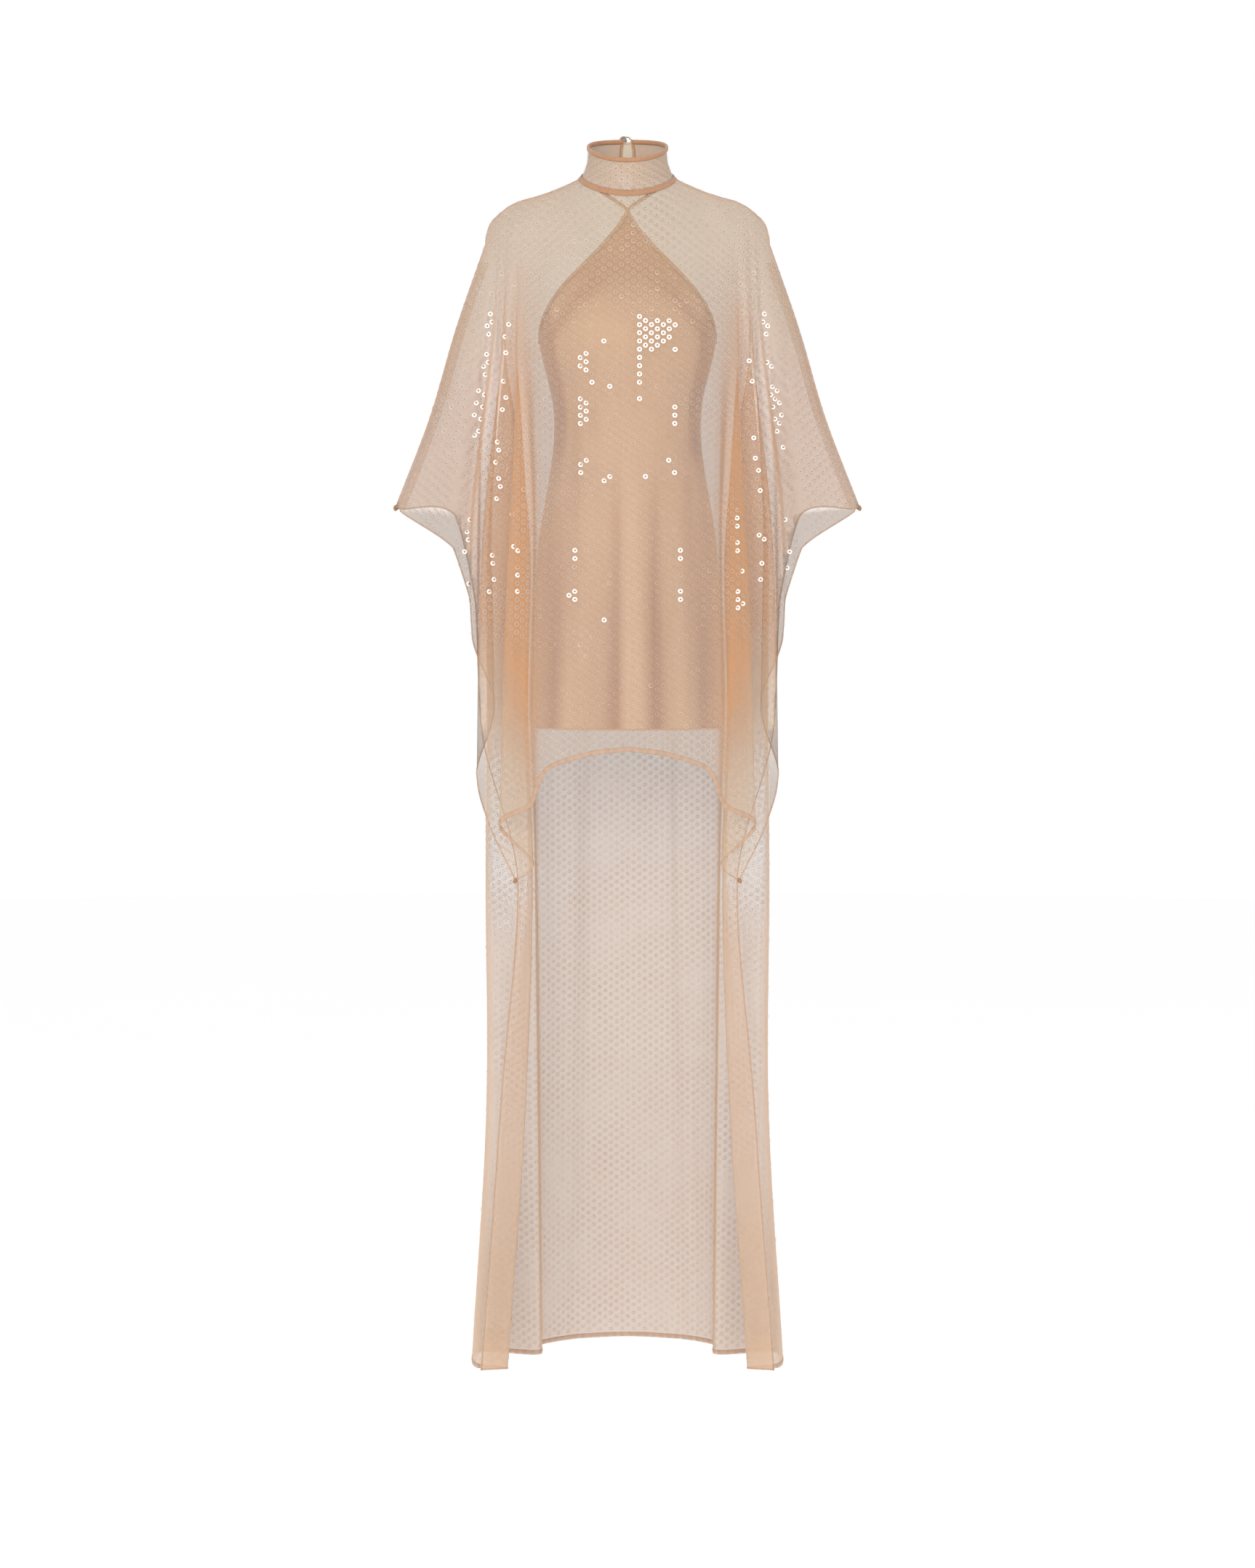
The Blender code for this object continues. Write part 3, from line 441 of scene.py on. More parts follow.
BODICE_GLINTS = (
    Glint(-0.037, -0.249, 0.00, 0.0046, 0.0046, 1.00),
    Glint(-0.064, -0.277, 0.05, 0.0073, 0.0156, 0.97),
    Glint(-0.050, -0.303, 0.00, 0.0046, 0.0047, 1.00),
    Glint(-0.029, -0.310, 0.00, 0.0046, 0.0046, 1.00),
    Glint(-0.063, -0.348, -0.01, 0.0078, 0.0213, 0.95),
    Glint(-0.063, -0.420, 0.00, 0.0046, 0.0052, 1.00),
    Glint(-0.070, -0.438, 0.00, 0.0046, 0.0052, 1.00),
    Glint(-0.029, -0.444, 0.00, 0.0046, 0.0052, 1.00),
    Glint(-0.078, -0.556, -0.02, 0.0048, 0.0109, 1.00),
    Glint(-0.077, -0.609, 0.00, 0.0078, 0.0078, 0.90),
    Glint(-0.030, -0.648, 0.00, 0.0046, 0.0052, 1.00),
    Glint(0.013, -0.256, 0.00, 0.0044, 0.0456, 0.95),
    Glint(0.031, -0.237, 0.00, 0.0145, 0.0238, 0.96),
    Glint(0.053, -0.230, 0.00, 0.0104, 0.0197, 0.88),
    Glint(0.067, -0.220, 0.00, 0.0083, 0.0073, 0.70),
    Glint(0.069, -0.263, 0.00, 0.0046, 0.0052, 1.00),
    Glint(0.061, -0.348, 0.02, 0.0078, 0.0213, 0.85),
    Glint(0.060, -0.419, 0.00, 0.0046, 0.0052, 1.00),
    Glint(0.066, -0.438, 0.00, 0.0046, 0.0052, 1.00),
    Glint(0.019, -0.310, 0.00, 0.0046, 0.0220, 0.60),
    Glint(0.024, -0.442, 0.00, 0.0046, 0.0052, 1.00),
    Glint(0.079, -0.556, 0.00, 0.0048, 0.0109, 1.00),
    Glint(0.076, -0.609, 0.00, 0.0078, 0.0078, 0.70),
)

# Camera and lamps of the studio
CAMERA_PLACE = Vector((0.0, -5.0, -0.642))
CAMERA_LENS = 78.4
CAMERA_SHIFT = -0.1058
KEY_LAMP = Vector((0.9, -3.9, 1.3))
FILL_LAMP = Vector((-1.6, -3.4, 0.9))
LAMP_AIM = Vector((0.0, 0.0, -0.6))
FLOOR_DROP = 0.45
FLOOR_RINGS = (0.0, 2.0, 5.0, 9.0, 14.0)

BODY = "root"


class KaftanSizes(bpy.types.PropertyGroup):
    """Sizes of the sewn details."""

    sequin_diameter: bpy.props.FloatProperty(
        name="Sequin diameter", description="Width of one sequin",
        default=0.0074, min=0.003, max=0.015, unit="LENGTH", precision=4)
    sequin_column: bpy.props.FloatProperty(
        name="Sequin column spacing", description="Distance between two columns of sequins",
        default=0.0085, min=0.004, max=0.03, unit="LENGTH", precision=4)
    sequin_row: bpy.props.FloatProperty(
        name="Sequin row spacing",
        description="Height between two rows, half the pitch of a column",
        default=0.00585, min=0.003, max=0.03, unit="LENGTH", precision=4)
    sequin_tilt: bpy.props.FloatProperty(
        name="Sequin tilt", description="How unevenly the sequins lie on the cloth",
        default=math.radians(5.0), min=0.0, max=math.radians(30.0), subtype="ANGLE")
    hem_width: bpy.props.FloatProperty(
        name="Hem width", description="Width of the turned hem across the front and the back",
        default=0.0070, min=0.001, max=0.02, unit="LENGTH", precision=4)
    rolled_width: bpy.props.FloatProperty(
        name="Rolled edge width", description="Width of the rolled edges of the open sides",
        default=0.0018, min=0.001, max=0.02, unit="LENGTH", precision=4)
    strap_width: bpy.props.FloatProperty(
        name="Strap width", description="Width of the slip's bindings and straps",
        default=0.0052, min=0.002, max=0.02, unit="LENGTH", precision=4)
    binding_thickness: bpy.props.FloatProperty(
        name="Binding thickness", description="Thickness of a folded binding",
        default=0.0013, min=0.0005, max=0.004, unit="LENGTH", precision=4)


class KaftanColours(bpy.types.PropertyGroup):
    """Colours of the cloths and trims, linear."""

    # The net's colours are lit and shaded copies of one net: the yoke and pale tints are painted
    # light, the back tulle is painted shade, and the fold colours are a deeper tone, partly the
    # stacked net and partly painted shade.
    tulle_front: bpy.props.FloatVectorProperty(
        name="Front tulle", description="Sheer net of the front panel where it hangs flat",
        subtype="COLOR", size=3, min=0.0, max=1.0, default=(0.500, 0.398, 0.318))
    # Darker copy of the front's net: painted shade.
    tulle_back: bpy.props.FloatVectorProperty(
        name="Back tulle", description="The same net on the long back panel",
        subtype="COLOR", size=3, min=0.0, max=1.0, default=(0.480, 0.335, 0.232))
    tulle_yoke: bpy.props.FloatVectorProperty(
        name="Yoke tulle", description="The same net over the shoulders, where light falls on it",
        subtype="COLOR", size=3, min=0.0, max=1.0, default=(0.590, 0.460, 0.300))
    # Deeper tone of the front's folds: partly the stacked net, partly painted shade.
    tulle_folds: bpy.props.FloatVectorProperty(
        name="Front tulle in folds", description="The net of the front where it lies in folds",
        subtype="COLOR", size=3, min=0.0, max=1.0, default=(0.605, 0.324, 0.158))
    tulle_pale: bpy.props.FloatVectorProperty(
        name="Pale tulle", description="The net of the back where its turned sides face the light",
        subtype="COLOR", size=3, min=0.0, max=1.0, default=(0.780, 0.650, 0.550))
    # Deeper tone of the back's folds: partly the stacked net, partly painted shade.
    tulle_tail_folds: bpy.props.FloatVectorProperty(
        name="Back tulle in folds", description="The net of the back where it lies in folds",
        subtype="COLOR", size=3, min=0.0, max=1.0, default=(0.615, 0.420, 0.285))
    tulle_collar: bpy.props.FloatVectorProperty(
        name="Collar tulle", description="Doubled net of the stand collar",
        subtype="COLOR", size=3, min=0.0, max=1.0, default=(0.470, 0.350, 0.262))
    slip: bpy.props.FloatVectorProperty(
        name="Slip", description="Soft lining cloth of the slip",
        subtype="COLOR", size=3, min=0.0, max=1.0, default=(0.735, 0.457, 0.262))
    binding: bpy.props.FloatVectorProperty(
        name="Bindings", description="Bias bindings, straps and the band of the neck seam",
        subtype="COLOR", size=3, min=0.0, max=1.0, default=(0.430, 0.230, 0.122))
    hem: bpy.props.FloatVectorProperty(
        name="Hems", description="Turned hems and rolled edges of the net",
        subtype="COLOR", size=3, min=0.0, max=1.0, default=(0.590, 0.405, 0.285))
    sequin: bpy.props.FloatVectorProperty(
        name="Sequins", description="Clear sequins with a warm tint",
        subtype="COLOR", size=3, min=0.0, max=1.0, default=(0.860, 0.810, 0.750))
    button: bpy.props.FloatVectorProperty(
        name="Button", description="Small smooth button of the collar",
        subtype="COLOR", size=3, min=0.0, max=1.0, default=(0.190, 0.130, 0.110))


class Wire:
    """A node socket that takes part in expressions; each operator adds its Math node."""

    def __init__(self, finish, socket):
        self.finish = finish
        self.socket = socket

    def math(self, operation, *values):
        return self.finish.node("ShaderNodeMath", {"operation": operation},
                                dict(enumerate(values)))

    def __add__(self, other):
        return self.math("ADD", self, other)

    def __radd__(self, other):
        return self.math("ADD", other, self)

    def __sub__(self, other):
        return self.math("SUBTRACT", self, other)

    def __rsub__(self, other):
        return self.math("SUBTRACT", other, self)

    def __mul__(self, other):
        return self.math("MULTIPLY", self, other)

    def __rpow__(self, other):
        return self.math("POWER", other, self)

    def sine(self):
        return self.math("SINE", self)

    def clamped(self, low=0.0, high=1.0):
        return self.math("MINIMUM", self.math("MAXIMUM", self, low), high)


class Finish:
    """A material being made round its Principled BSDF."""

    def __init__(self, name):
        self.material = bpy.data.materials.new(name)
        self.material.use_nodes = True
        self.tree = self.material.node_tree
        self.shader = self.tree.nodes["Principled BSDF"]

    def node(self, kind, settings, inputs, output=0):
        """Adds a node: its settings first, then the values or wires of its sockets."""
        node = self.tree.nodes.new(kind)
        for name, value in settings.items():
            setattr(node, name, value)
        for name, value in inputs.items():
            self.feed(node.inputs[name], value)
        return Wire(self, node.outputs[output])

    def feed(self, socket, value):
        if isinstance(value, Wire):
            self.tree.links.new(value.socket, socket)
        else:
            socket.default_value = value

    def set(self, **values):
        """Feeds sockets of the shader, an underscore in a name standing for a space."""
        for name, value in values.items():
            if not isinstance(value, Wire) and hasattr(value, "__len__") and len(value) == 3:
                value = (*value, 1.0)
            self.feed(self.shader.inputs[name.replace("_", " ")], value)

    def attribute(self, name):
        return self.node("ShaderNodeAttribute", {"attribute_name": name}, {}, "Fac")

    def flat_place(self):
        """Place on the flat cloth in metres, across and down."""
        place = self.node("ShaderNodeTexCoord", {}, {}, "UV")
        split = self.node("ShaderNodeSeparateXYZ", {}, {0: place})
        down = Wire(self, split.socket.node.outputs[1])
        return split, down

    def clouds(self, scale, detail=3.0):
        """Noise on the object's own coordinates, round 0.5."""
        place = self.node("ShaderNodeTexCoord", {}, {}, "Object")
        return self.node("ShaderNodeTexNoise", {},
                         {"Vector": place, "Scale": scale, "Detail": detail})

    def mix(self, factor, first, second):
        """Colour between two colours."""
        def colour(value):
            return value if isinstance(value, Wire) else (*value, 1.0)
        return self.node("ShaderNodeMix", {"data_type": "RGBA"},
                         {0: factor, 6: colour(first), 7: colour(second)}, 2)

    def bump(self, height, strength, distance):
        return self.node("ShaderNodeBump", {},
                         {"Height": height, "Strength": strength, "Distance": distance})


def scaled(colour, factor):
    return tuple(min(1.0, channel * factor) for channel in colour)


def tulle_finish(name, cover, flat, pale, folds, alone):
    """Sheer net of single threads that cross at a millimetre.

    It covers more where it turns away from the panel's own plane. Its colour goes from flat to
    pale, a tint of painted light, to that of the folds, a deeper tone that is partly the stacked
    net and partly painted shade, or to that of a layer that hangs alone.
    """
    finish = Finish(name)
    across, down = finish.flat_place()
    turns = 2 * math.pi / NET_PITCH
    threads = (across * turns).sine() * (down * turns).sine()
    mottle, fine = finish.clouds(26.0), finish.clouds(240.0, 2.0)
    turned = finish.attribute("turned")
    alpha = 1.0 - (1.0 - cover) ** (turned + 1.0)
    depth = (finish.attribute("depth") + (mottle - 0.5) * 0.4).clamped()
    # Base colour: the pale tint is painted light and the folds' colour partly painted shade.
    finish.set(
        Base_Color=finish.mix(finish.attribute("alone"), finish.mix(
            depth, finish.mix(finish.attribute("pale"), flat, pale), folds), alone),
        Roughness=0.62,
        Alpha=(alpha + (mottle - 0.5) * 0.09 + (fine - 0.5) * 0.09 + threads * 0.05)
        .clamped(0.02, 0.98),
        Sheen_Weight=0.1,
        Sheen_Roughness=0.5,
        Specular_IOR_Level=0.2,
        Normal=finish.bump(threads * 0.5 + fine, 0.25, 0.0004),
    )
    return finish.material


def sequin_finish(name, colour):
    """Clear disc with a dark rim, darker on its lower side with a painted shadow, and a small hole;
    a few catch the lamp and are painted nearly opaque and pale, a painted highlight.
    """
    finish = Finish(name)
    rim = finish.attribute("rim")
    edge = ((rim - 0.80) * 6.0).clamped()
    shine = finish.attribute("shine")
    hole = ((shine * 0.10 + 0.36 - rim) * 10.0).clamped()
    finish.set(
        Base_Color=finish.mix((edge + hole - shine * edge * 0.6).clamped(), colour,
                              (0.34, 0.23, 0.16)),
        Roughness=hole * 0.8 + 0.18,
        IOR=1.5,
        # shine makes a disc nearly opaque and pale: a painted highlight
        Alpha=((edge * 0.80 + hole * 0.30 + 0.04) * finish.attribute("shade")
               + shine * 0.80).clamped(),
    )
    return finish.material


def slip_finish(name, colour):
    """Soft matte lining cloth with a fine twill; its depth attribute paints shade into it, deepest
    towards the throat.
    """
    finish = Finish(name)
    across, down = finish.flat_place()
    twill = ((across + down * 0.6) * (2 * math.pi / TWILL_PITCH)).sine()
    mottle = finish.clouds(9.0)
    depth = finish.attribute("depth")
    finish.set(
        # The deep colour is the slip's own colour in painted shade.
        Base_Color=finish.mix((depth + (mottle - 0.5) * 0.25).clamped(), colour,
                              (colour[0] * 0.53, colour[1] * 0.31, colour[2] * 0.185)),
        Roughness=finish.clouds(60.0) * 0.12 + 0.46,
        Sheen_Weight=0.2,
        Normal=finish.bump(twill * 0.5 + finish.clouds(150.0), 0.2, 0.0003),
    )
    return finish.material


def ribbed_finish(name, colour, rib, cover):
    """Folded cloth of a binding or hem, with small ribs across it and an uneven colour."""
    finish = Finish(name)
    across, down = finish.flat_place()
    ribs = (across * (2 * math.pi / rib)).sine()
    mottle = finish.clouds(90.0)
    weave = (down * (2 * math.pi / WEAVE_PITCH)).sine()
    finish.set(
        Base_Color=finish.mix((mottle * 0.8 + ribs * 0.22).clamped(), scaled(colour, 1.15),
                              (colour[0] * 0.86, colour[1] * 0.72, colour[2] * 0.60)),
        Roughness=0.6,
        Sheen_Weight=0.15,
        Alpha=(cover + ribs * 0.06 + (mottle - 0.5) * 0.1).clamped(),
        Normal=finish.bump(ribs + weave * 0.3, 0.5, 0.0004),
    )
    return finish.material


def thread_finish(name, colour):
    """Twisted sewing thread."""
    finish = Finish(name)
    twist = finish.clouds(900.0, 1.0)
    finish.set(
        Base_Color=finish.mix(twist, scaled(colour, 0.85), scaled(colour, 1.15)),
        Roughness=0.55,
        Sheen_Weight=0.2,
        Normal=finish.bump(twist, 0.3, 0.0002),
    )
    return finish.material


def button_finish(name, colour):
    """Smooth pearly plastic."""
    finish = Finish(name)
    cloud = finish.clouds(420.0, 4.0)
    finish.set(
        Base_Color=finish.mix(cloud, scaled(colour, 0.75), scaled(colour, 1.7)),
        Roughness=cloud * 0.12 + 0.34,
        Coat_Weight=0.12,
        Normal=finish.bump(cloud, 0.08, 0.0002),
    )
    return finish.material


def smooth(knots, values, at):
    """Value at one knot position of a smooth curve through the values.

    Hermite spans with three-point slopes. Past the last knot the curve runs on straight.
    """
    count = len(knots)
    span = 0
    while span < count - 2 and at > knots[span + 1]:
        span += 1

    def slope(i):
        before, after = max(i - 1, 0), min(i + 1, count - 1)
        rise_in = (values[i] - values[before]) / max(knots[i] - knots[before], 1e-9)
        rise_out = (values[after] - values[i]) / max(knots[after] - knots[i], 1e-9)
        if i == 0:
            return rise_out
        if i == count - 1:
            return rise_in
        share = (knots[i] - knots[before]) / (knots[after] - knots[before])
        return rise_in * (1.0 - share) + rise_out * share

    start, end = slope(span), slope(span + 1)
    if at <= knots[0]:
        return values[0] + start * (at - knots[0])
    if at >= knots[-1]:
        return values[-1] + end * (at - knots[-1])
    width = knots[span + 1] - knots[span]
    t = (at - knots[span]) / width
    low = values[span] * (2 * t**3 - 3 * t**2 + 1) + start * width * (t**3 - 2 * t**2 + t)
    high = values[span + 1] * (3 * t**2 - 2 * t**3) + end * width * (t**3 - t**2)
    return low + high


def eased(x):
    """0 below 0, 1 above 1 and smooth between."""
    x = min(1.0, max(0.0, x))
    return x * x * (3.0 - 2.0 * x)


def neck_ring(angle, half_width, half_depth, setback, height, rise, saddle):
    """Point of a ring round the neck, with the angle in degrees from the centre front."""
    a = math.radians(angle)
    return Vector((half_width * math.sin(a), setback - half_depth * math.cos(a),
                   height - rise * math.cos(a) - saddle * math.cos(2 * a)))


def neck_seam(angle):
    """Point of the seam between the panels and the collar."""
    return neck_ring(angle, NECK_HALF_WIDTH, NECK_HALF_DEPTH, NECK_SETBACK, -NECK_SADDLE,
                     NECK_RISE, NECK_SADDLE)


def collar_rim(angle):
    """Point of the collar's top edge."""
    return neck_ring(angle, COLLAR_HALF_WIDTH, COLLAR_HALF_DEPTH, COLLAR_SETBACK, COLLAR_HEIGHT,
                     COLLAR_RISE, COLLAR_SADDLE)


def collar_point(angle, height):
    """Point of the collar, from 0 at the seam to 1 at the top edge."""
    seam, rim = neck_seam(angle), collar_rim(angle)
    flat = seam.lerp(rim, 1.0 - (1.0 - height) ** 3)
    return Vector((flat.x, flat.y, seam.z + (rim.z - seam.z) * height))


def collar_frame(angle, height):
    """Point of the collar, its outward normal and its upward direction."""
    up = (collar_point(angle, height + 0.01) - collar_point(angle, height - 0.01)).normalized()
    around = collar_point(angle + 1.0, height) - collar_point(angle - 1.0, height)
    return collar_point(angle, height), around.cross(up).normalized(), up


def collar_end_angle(height):
    """Angle where the collar stops beside the centre back, the same width all the way up."""
    inwards = 1.0 - (1.0 - height) ** 3
    radius = NECK_HALF_WIDTH + (COLLAR_HALF_WIDTH - NECK_HALF_WIDTH) * inwards
    return 180.0 - math.degrees(math.asin(KEYHOLE_HALF_WIDTH / radius))


def shoulder_seam(along, side):
    """Point of the shoulder seam, from 0 at the neck to 1 at the shoulder point."""
    reach = [row[0] for row in SHOULDER_SEAM]
    x = reach[0] + (reach[-1] - reach[0]) * along
    y = SHOULDER_SEAM_Y[0] + (SHOULDER_SEAM_Y[1] - SHOULDER_SEAM_Y[0]) * along
    return Vector((x, y + side * SEAM_GAP, smooth(reach, [row[1] for row in SHOULDER_SEAM], x)))


def keyhole_half_width(z):
    """Half the width of the opening that the cloth leaves for the keyhole at a height."""
    radius = KEYHOLE_ROUND_RADIUS + KEYHOLE_EDGE
    below = KEYHOLE_ROUND_Z - z
    if below >= radius:
        return 0.0
    if below > 0.0:
        return math.sqrt(radius**2 - below**2)
    top = neck_seam(180.0).z
    share = min(1.0, -below / (top - KEYHOLE_ROUND_Z))
    return radius + (KEYHOLE_HALF_WIDTH + KEYHOLE_EDGE - radius) * share


class Panel:
    """Surface of one sheer panel, hung from its fold lines."""

    def __init__(self, folds, levels, side, creases, tints, turn_cover):
        self.folds = folds
        self.levels = [-level for level in levels]
        self.corner = [fold.name for fold in folds].index("corner")
        self.side = side
        self.creases = creases
        self.tints = tints
        self.turn_cover = turn_cover
        self.last = len(folds) - 1

    def hem(self, q):
        """Height of the lower edge, with a sharp turn at the corner."""
        first, last = (0, self.corner) if q < self.corner else (self.corner, self.last)
        heights = [fold.hem for fold in self.folds[first:last + 1]]
        return smooth(range(first, last + 1), heights, q)

    @lru_cache(maxsize=None)
    def fold_place(self, index, z):
        """Plan position of a fold line at a height, mirrored past the centre and the ridge."""
        if index < 0:
            x, y = self.fold_place(-index, z)
            return -x, y
        if index > self.last:
            ridge, inner = self.fold_place(self.last, z), self.fold_place(self.last - 1, z)
            return inner[0], 2 * ridge[1] - inner[1]
        places = self.folds[index].places
        levels = self.levels[:len(places)]
        return (smooth(levels, [place[0] for place in places], -z),
                smooth(levels, [place[1] for place in places], -z))

    def crease(self, q, z, hand):
        """How far the soft creases move the cloth outwards."""
        out = 0.0
        for crease in self.creases:
            share = (crease.top - z) / (crease.top - crease.bottom)
            if crease.hand == -hand or not 0.0 < share < CREASE_END:
                continue
            centre = crease.at_top + (crease.at_bottom - crease.at_top) * share
            wander = 0.08 * noise.noise(Vector((crease.at_top * 7.0, z * 5.0, self.side)))
            away = (q - centre - wander) / crease.width
            ends = eased(share * 3.0) * eased((CREASE_END - share) * 3.0)
            out += crease.depth * ends * math.exp(-away * away)
        ripple = noise.noise(Vector((q * 1.7 * hand, z * 4.0, 3.0 * self.side)))
        return out + 0.0012 * ripple * eased((YOKE_LEVEL - z) * 8.0)

    def hanging(self, q, z, hand):
        """Point of the cloth below the yoke level."""
        span = min(int(q), self.last - 1)
        near = [self.fold_place(index, z) for index in range(span - 1, span + 3)]
        knots = [0.0]
        for start, end in zip(near, near[1:]):
            knots.append(knots[-1] + math.sqrt(math.hypot(end[0] - start[0], end[1] - start[1])))
        at = knots[1] + (knots[2] - knots[1]) * (q - span)
        x = smooth(knots, [place[0] for place in near], at)
        y = smooth(knots, [place[1] for place in near], at)
        still = eased((self.last - q) * 1.5)
        return Vector((hand * x, y + self.side * self.crease(q, z, hand) * still, z))

    def top_edge(self, top):
        """Point of the panel's top edge."""
        if top <= 1.0:
            angle = 90.0 * top
            return neck_seam(angle if self.side < 0 else 180.0 - angle)
        return shoulder_seam(top - 1.0, self.side)

    def yoke(self, q, down, hand, slit=True):
        """Point over the chest, shoulder or shoulder blade, domed where the shoulder is.

        The slit of the keyhole pushes the cloth of the back aside, unless slit is false.
        """
        span = min(int(q), self.last - 1)
        this, after = self.folds[span], self.folds[span + 1]
        share = q - span
        start = self.top_edge(this.top + (after.top - this.top) * share)
        end = self.hanging(q, YOKE_LEVEL, hand)
        dome = this.round + (after.round - this.round) * share
        turn = math.pi / 2 * down
        out = (1.0 - dome) * down + dome * math.sin(turn)
        drop = (1.0 - dome) * down + dome * (1.0 - math.cos(turn))
        x = start.x + (hand * end.x - start.x) * out
        z = start.z + (end.z - start.z) * drop
        reach = 3 * KEYHOLE_ROUND_RADIUS
        if self.side > 0 and slit and x < reach:
            opened = keyhole_half_width(z)
            x = opened + x * (reach - opened) / reach
        return Vector((hand * x, start.y + (end.y - start.y) * out, z))

    def point(self, q, down, hand):
        """Point of the whole panel: down runs from -1 at the top edge over 0 to 1 at the hem."""
        if down < 0.0:
            return self.yoke(q, down + 1.0, hand)
        return self.hanging(q, YOKE_LEVEL + (self.hem(q) - YOKE_LEVEL) * down, hand)

    def beside_centre(self, x, z):
        """Point and outward normal of the uncut yoke beside the centre line."""
        hand = -1 if x < 0.0 else 1
        q, down = 0.0, 0.5
        high, low = self.yoke(0.0, 0.0, hand, False).z, self.yoke(0.0, 1.0, hand, False).z
        for _ in range(12):
            here = self.yoke(q, down, hand, False)
            down += (here.z - z) / (high - low)
            q += (abs(x) - abs(here.x)) / abs(self.yoke(1.0, down, hand, False).x)
            q = max(q, 0.0)
        across = self.yoke(q + 0.02, down, hand, False) - self.yoke(q, down, hand, False)
        fall = self.yoke(q, down + 0.02, hand, False) - self.yoke(q, down, hand, False)
        return self.yoke(q, down, hand, False), across.cross(fall).normalized() * -self.side * hand


FRONT = Panel(FRONT_FOLDS, FRONT_LEVELS, -1, FRONT_CREASES, FRONT_TINTS, 1.0)
BACK = Panel(BACK_FOLDS, BACK_LEVELS, 1, BACK_CREASES, BACK_TINTS, 0.7)


def add_piece(name, mesh, material):
    """Object of a mesh, riding on the frame's body."""
    mesh.materials.append(material)
    mesh.shade_smooth()
    obj = bpy.data.objects.new(name, mesh)
    bpy.context.scene.collection.objects.link(obj)
    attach(obj, BODY)
    return obj


def lay_flat(mesh, points, columns):
    """UV map in metres: across from the middle of each row, and down from its first row."""
    grid = np.array(points).reshape(-1, columns + 1, 3)
    across = np.linalg.norm(np.diff(grid, axis=1), axis=2).cumsum(axis=1)
    across = np.concatenate([np.zeros((len(grid), 1)), across], axis=1)
    across -= across[:, columns // 2][:, None]
    down = np.linalg.norm(np.diff(grid, axis=0), axis=2).cumsum(axis=0)
    down = np.concatenate([np.zeros((1, columns + 1)), down])
    flat = np.stack([across, -down], axis=2).reshape(-1, 2)
    corners = np.empty(len(mesh.loops), dtype=np.int32)
    mesh.loops.foreach_get("vertex_index", corners)
    layer = mesh.uv_layers.new(name="flat")
    layer.data.foreach_set("uv", flat[corners].astype(np.float32).ravel())


def set_attribute(mesh, name, values):
    layer = mesh.attributes.new(name, "FLOAT", "POINT")
    layer.data.foreach_set("value", np.asarray(values, dtype=np.float32))


def grid_mesh(name, columns, rows, place, leave_out=()):
    """Open surface of columns by rows faces; leave_out names columns that stay empty."""
    points = [place(column, row) for row in range(rows + 1) for column in range(columns + 1)]
    wide = columns + 1
    faces = [
        (row * wide + column, (row + 1) * wide + column,
         (row + 1) * wide + column + 1, row * wide + column + 1)
        for row in range(rows) for column in range(columns) if column not in leave_out
    ]
    mesh = new_mesh(name, points, faces)
    lay_flat(mesh, points, columns)
    return mesh


def new_mesh(name, points, faces):
    mesh = bpy.data.meshes.new(name)
    mesh.from_pydata(points, [], faces)
    return mesh


def edit_mesh(mesh, change):
    """Lets a function change the mesh in its edit form."""
    bm = bmesh.new()
    bm.from_mesh(mesh)
    change(bm)
    bm.to_mesh(mesh)
    bm.free()


def weld(mesh):
    """Joins what lies in the same place, as below the end of a slit."""
    edit_mesh(mesh, lambda bm: bmesh.ops.remove_doubles(bm, verts=bm.verts, dist=WELD_DISTANCE))


def ringed_mesh(name, rings, segments, place):
    """Round surface through rings; place gives the point of a ring at a turn."""
    turns = [2 * math.pi * step / segments for step in range(segments)]
    points = [place(ring, turn) for ring in rings for turn in turns]
    faces = []
    for low in range(0, (len(rings) - 1) * segments, segments):
        high = low + segments
        for step in range(segments):
            after = (step + 1) % segments
            faces.append((low + step, low + after, high + after, high + step))
    mesh = new_mesh(name, points, faces)
    weld(mesh)
    return mesh


def runs(points):
    """Direction of a line at each of its points."""
    last = len(points) - 1
    return [(points[min(index + 1, last)] - points[max(index - 1, 0)]).normalized()
            for index in range(last + 1)]


def mirrored(point, hand):
    """The point on its hand, -1 for the left."""
    return Vector((hand * point.x, point.y, point.z))


def sweep(name, path, width, thickness, material, sides=8):
    """Rounded band along a path of (point, direction of its width, direction of its thickness).

    Width and thickness are numbers or functions of the share of the path.
    """
    last = len(path) - 1
    points, flats = [], []
    along = 0.0
    for index, (point, wide, thick) in enumerate(path):
        half_width, half_thickness = (
            (size(index / last) if callable(size) else size) / 2 for size in (width, thickness))
        if index:
            along += (point - path[index - 1][0]).length
        for side in range(sides):
            turn = 2 * math.pi * (side + 0.5) / sides
            c, s = math.cos(turn), math.sin(turn)
            flatter = 1.0 / max(abs(c), abs(s)) ** 0.6
            points.append(point + wide * (half_width * c * flatter)
                          + thick * (half_thickness * s * flatter))
            flats.append((along, half_width * c))
    faces = []
    for this in range(0, last * sides, sides):
        following = this + sides
        for side in range(sides):
            after = (side + 1) % sides
            faces.append((this + side, this + after, following + after, following + side))
    faces += [tuple(reversed(range(sides))), tuple(range(last * sides, (last + 1) * sides))]
    mesh = new_mesh(name, points, faces)
    layer = mesh.uv_layers.new(name="flat")
    for loop in mesh.loops:
        layer.data[loop.index].uv = flats[loop.vertex_index]
    edit_mesh(mesh, lambda bm: bmesh.ops.recalc_face_normals(bm, faces=bm.faces))
    return add_piece(name, mesh, material)


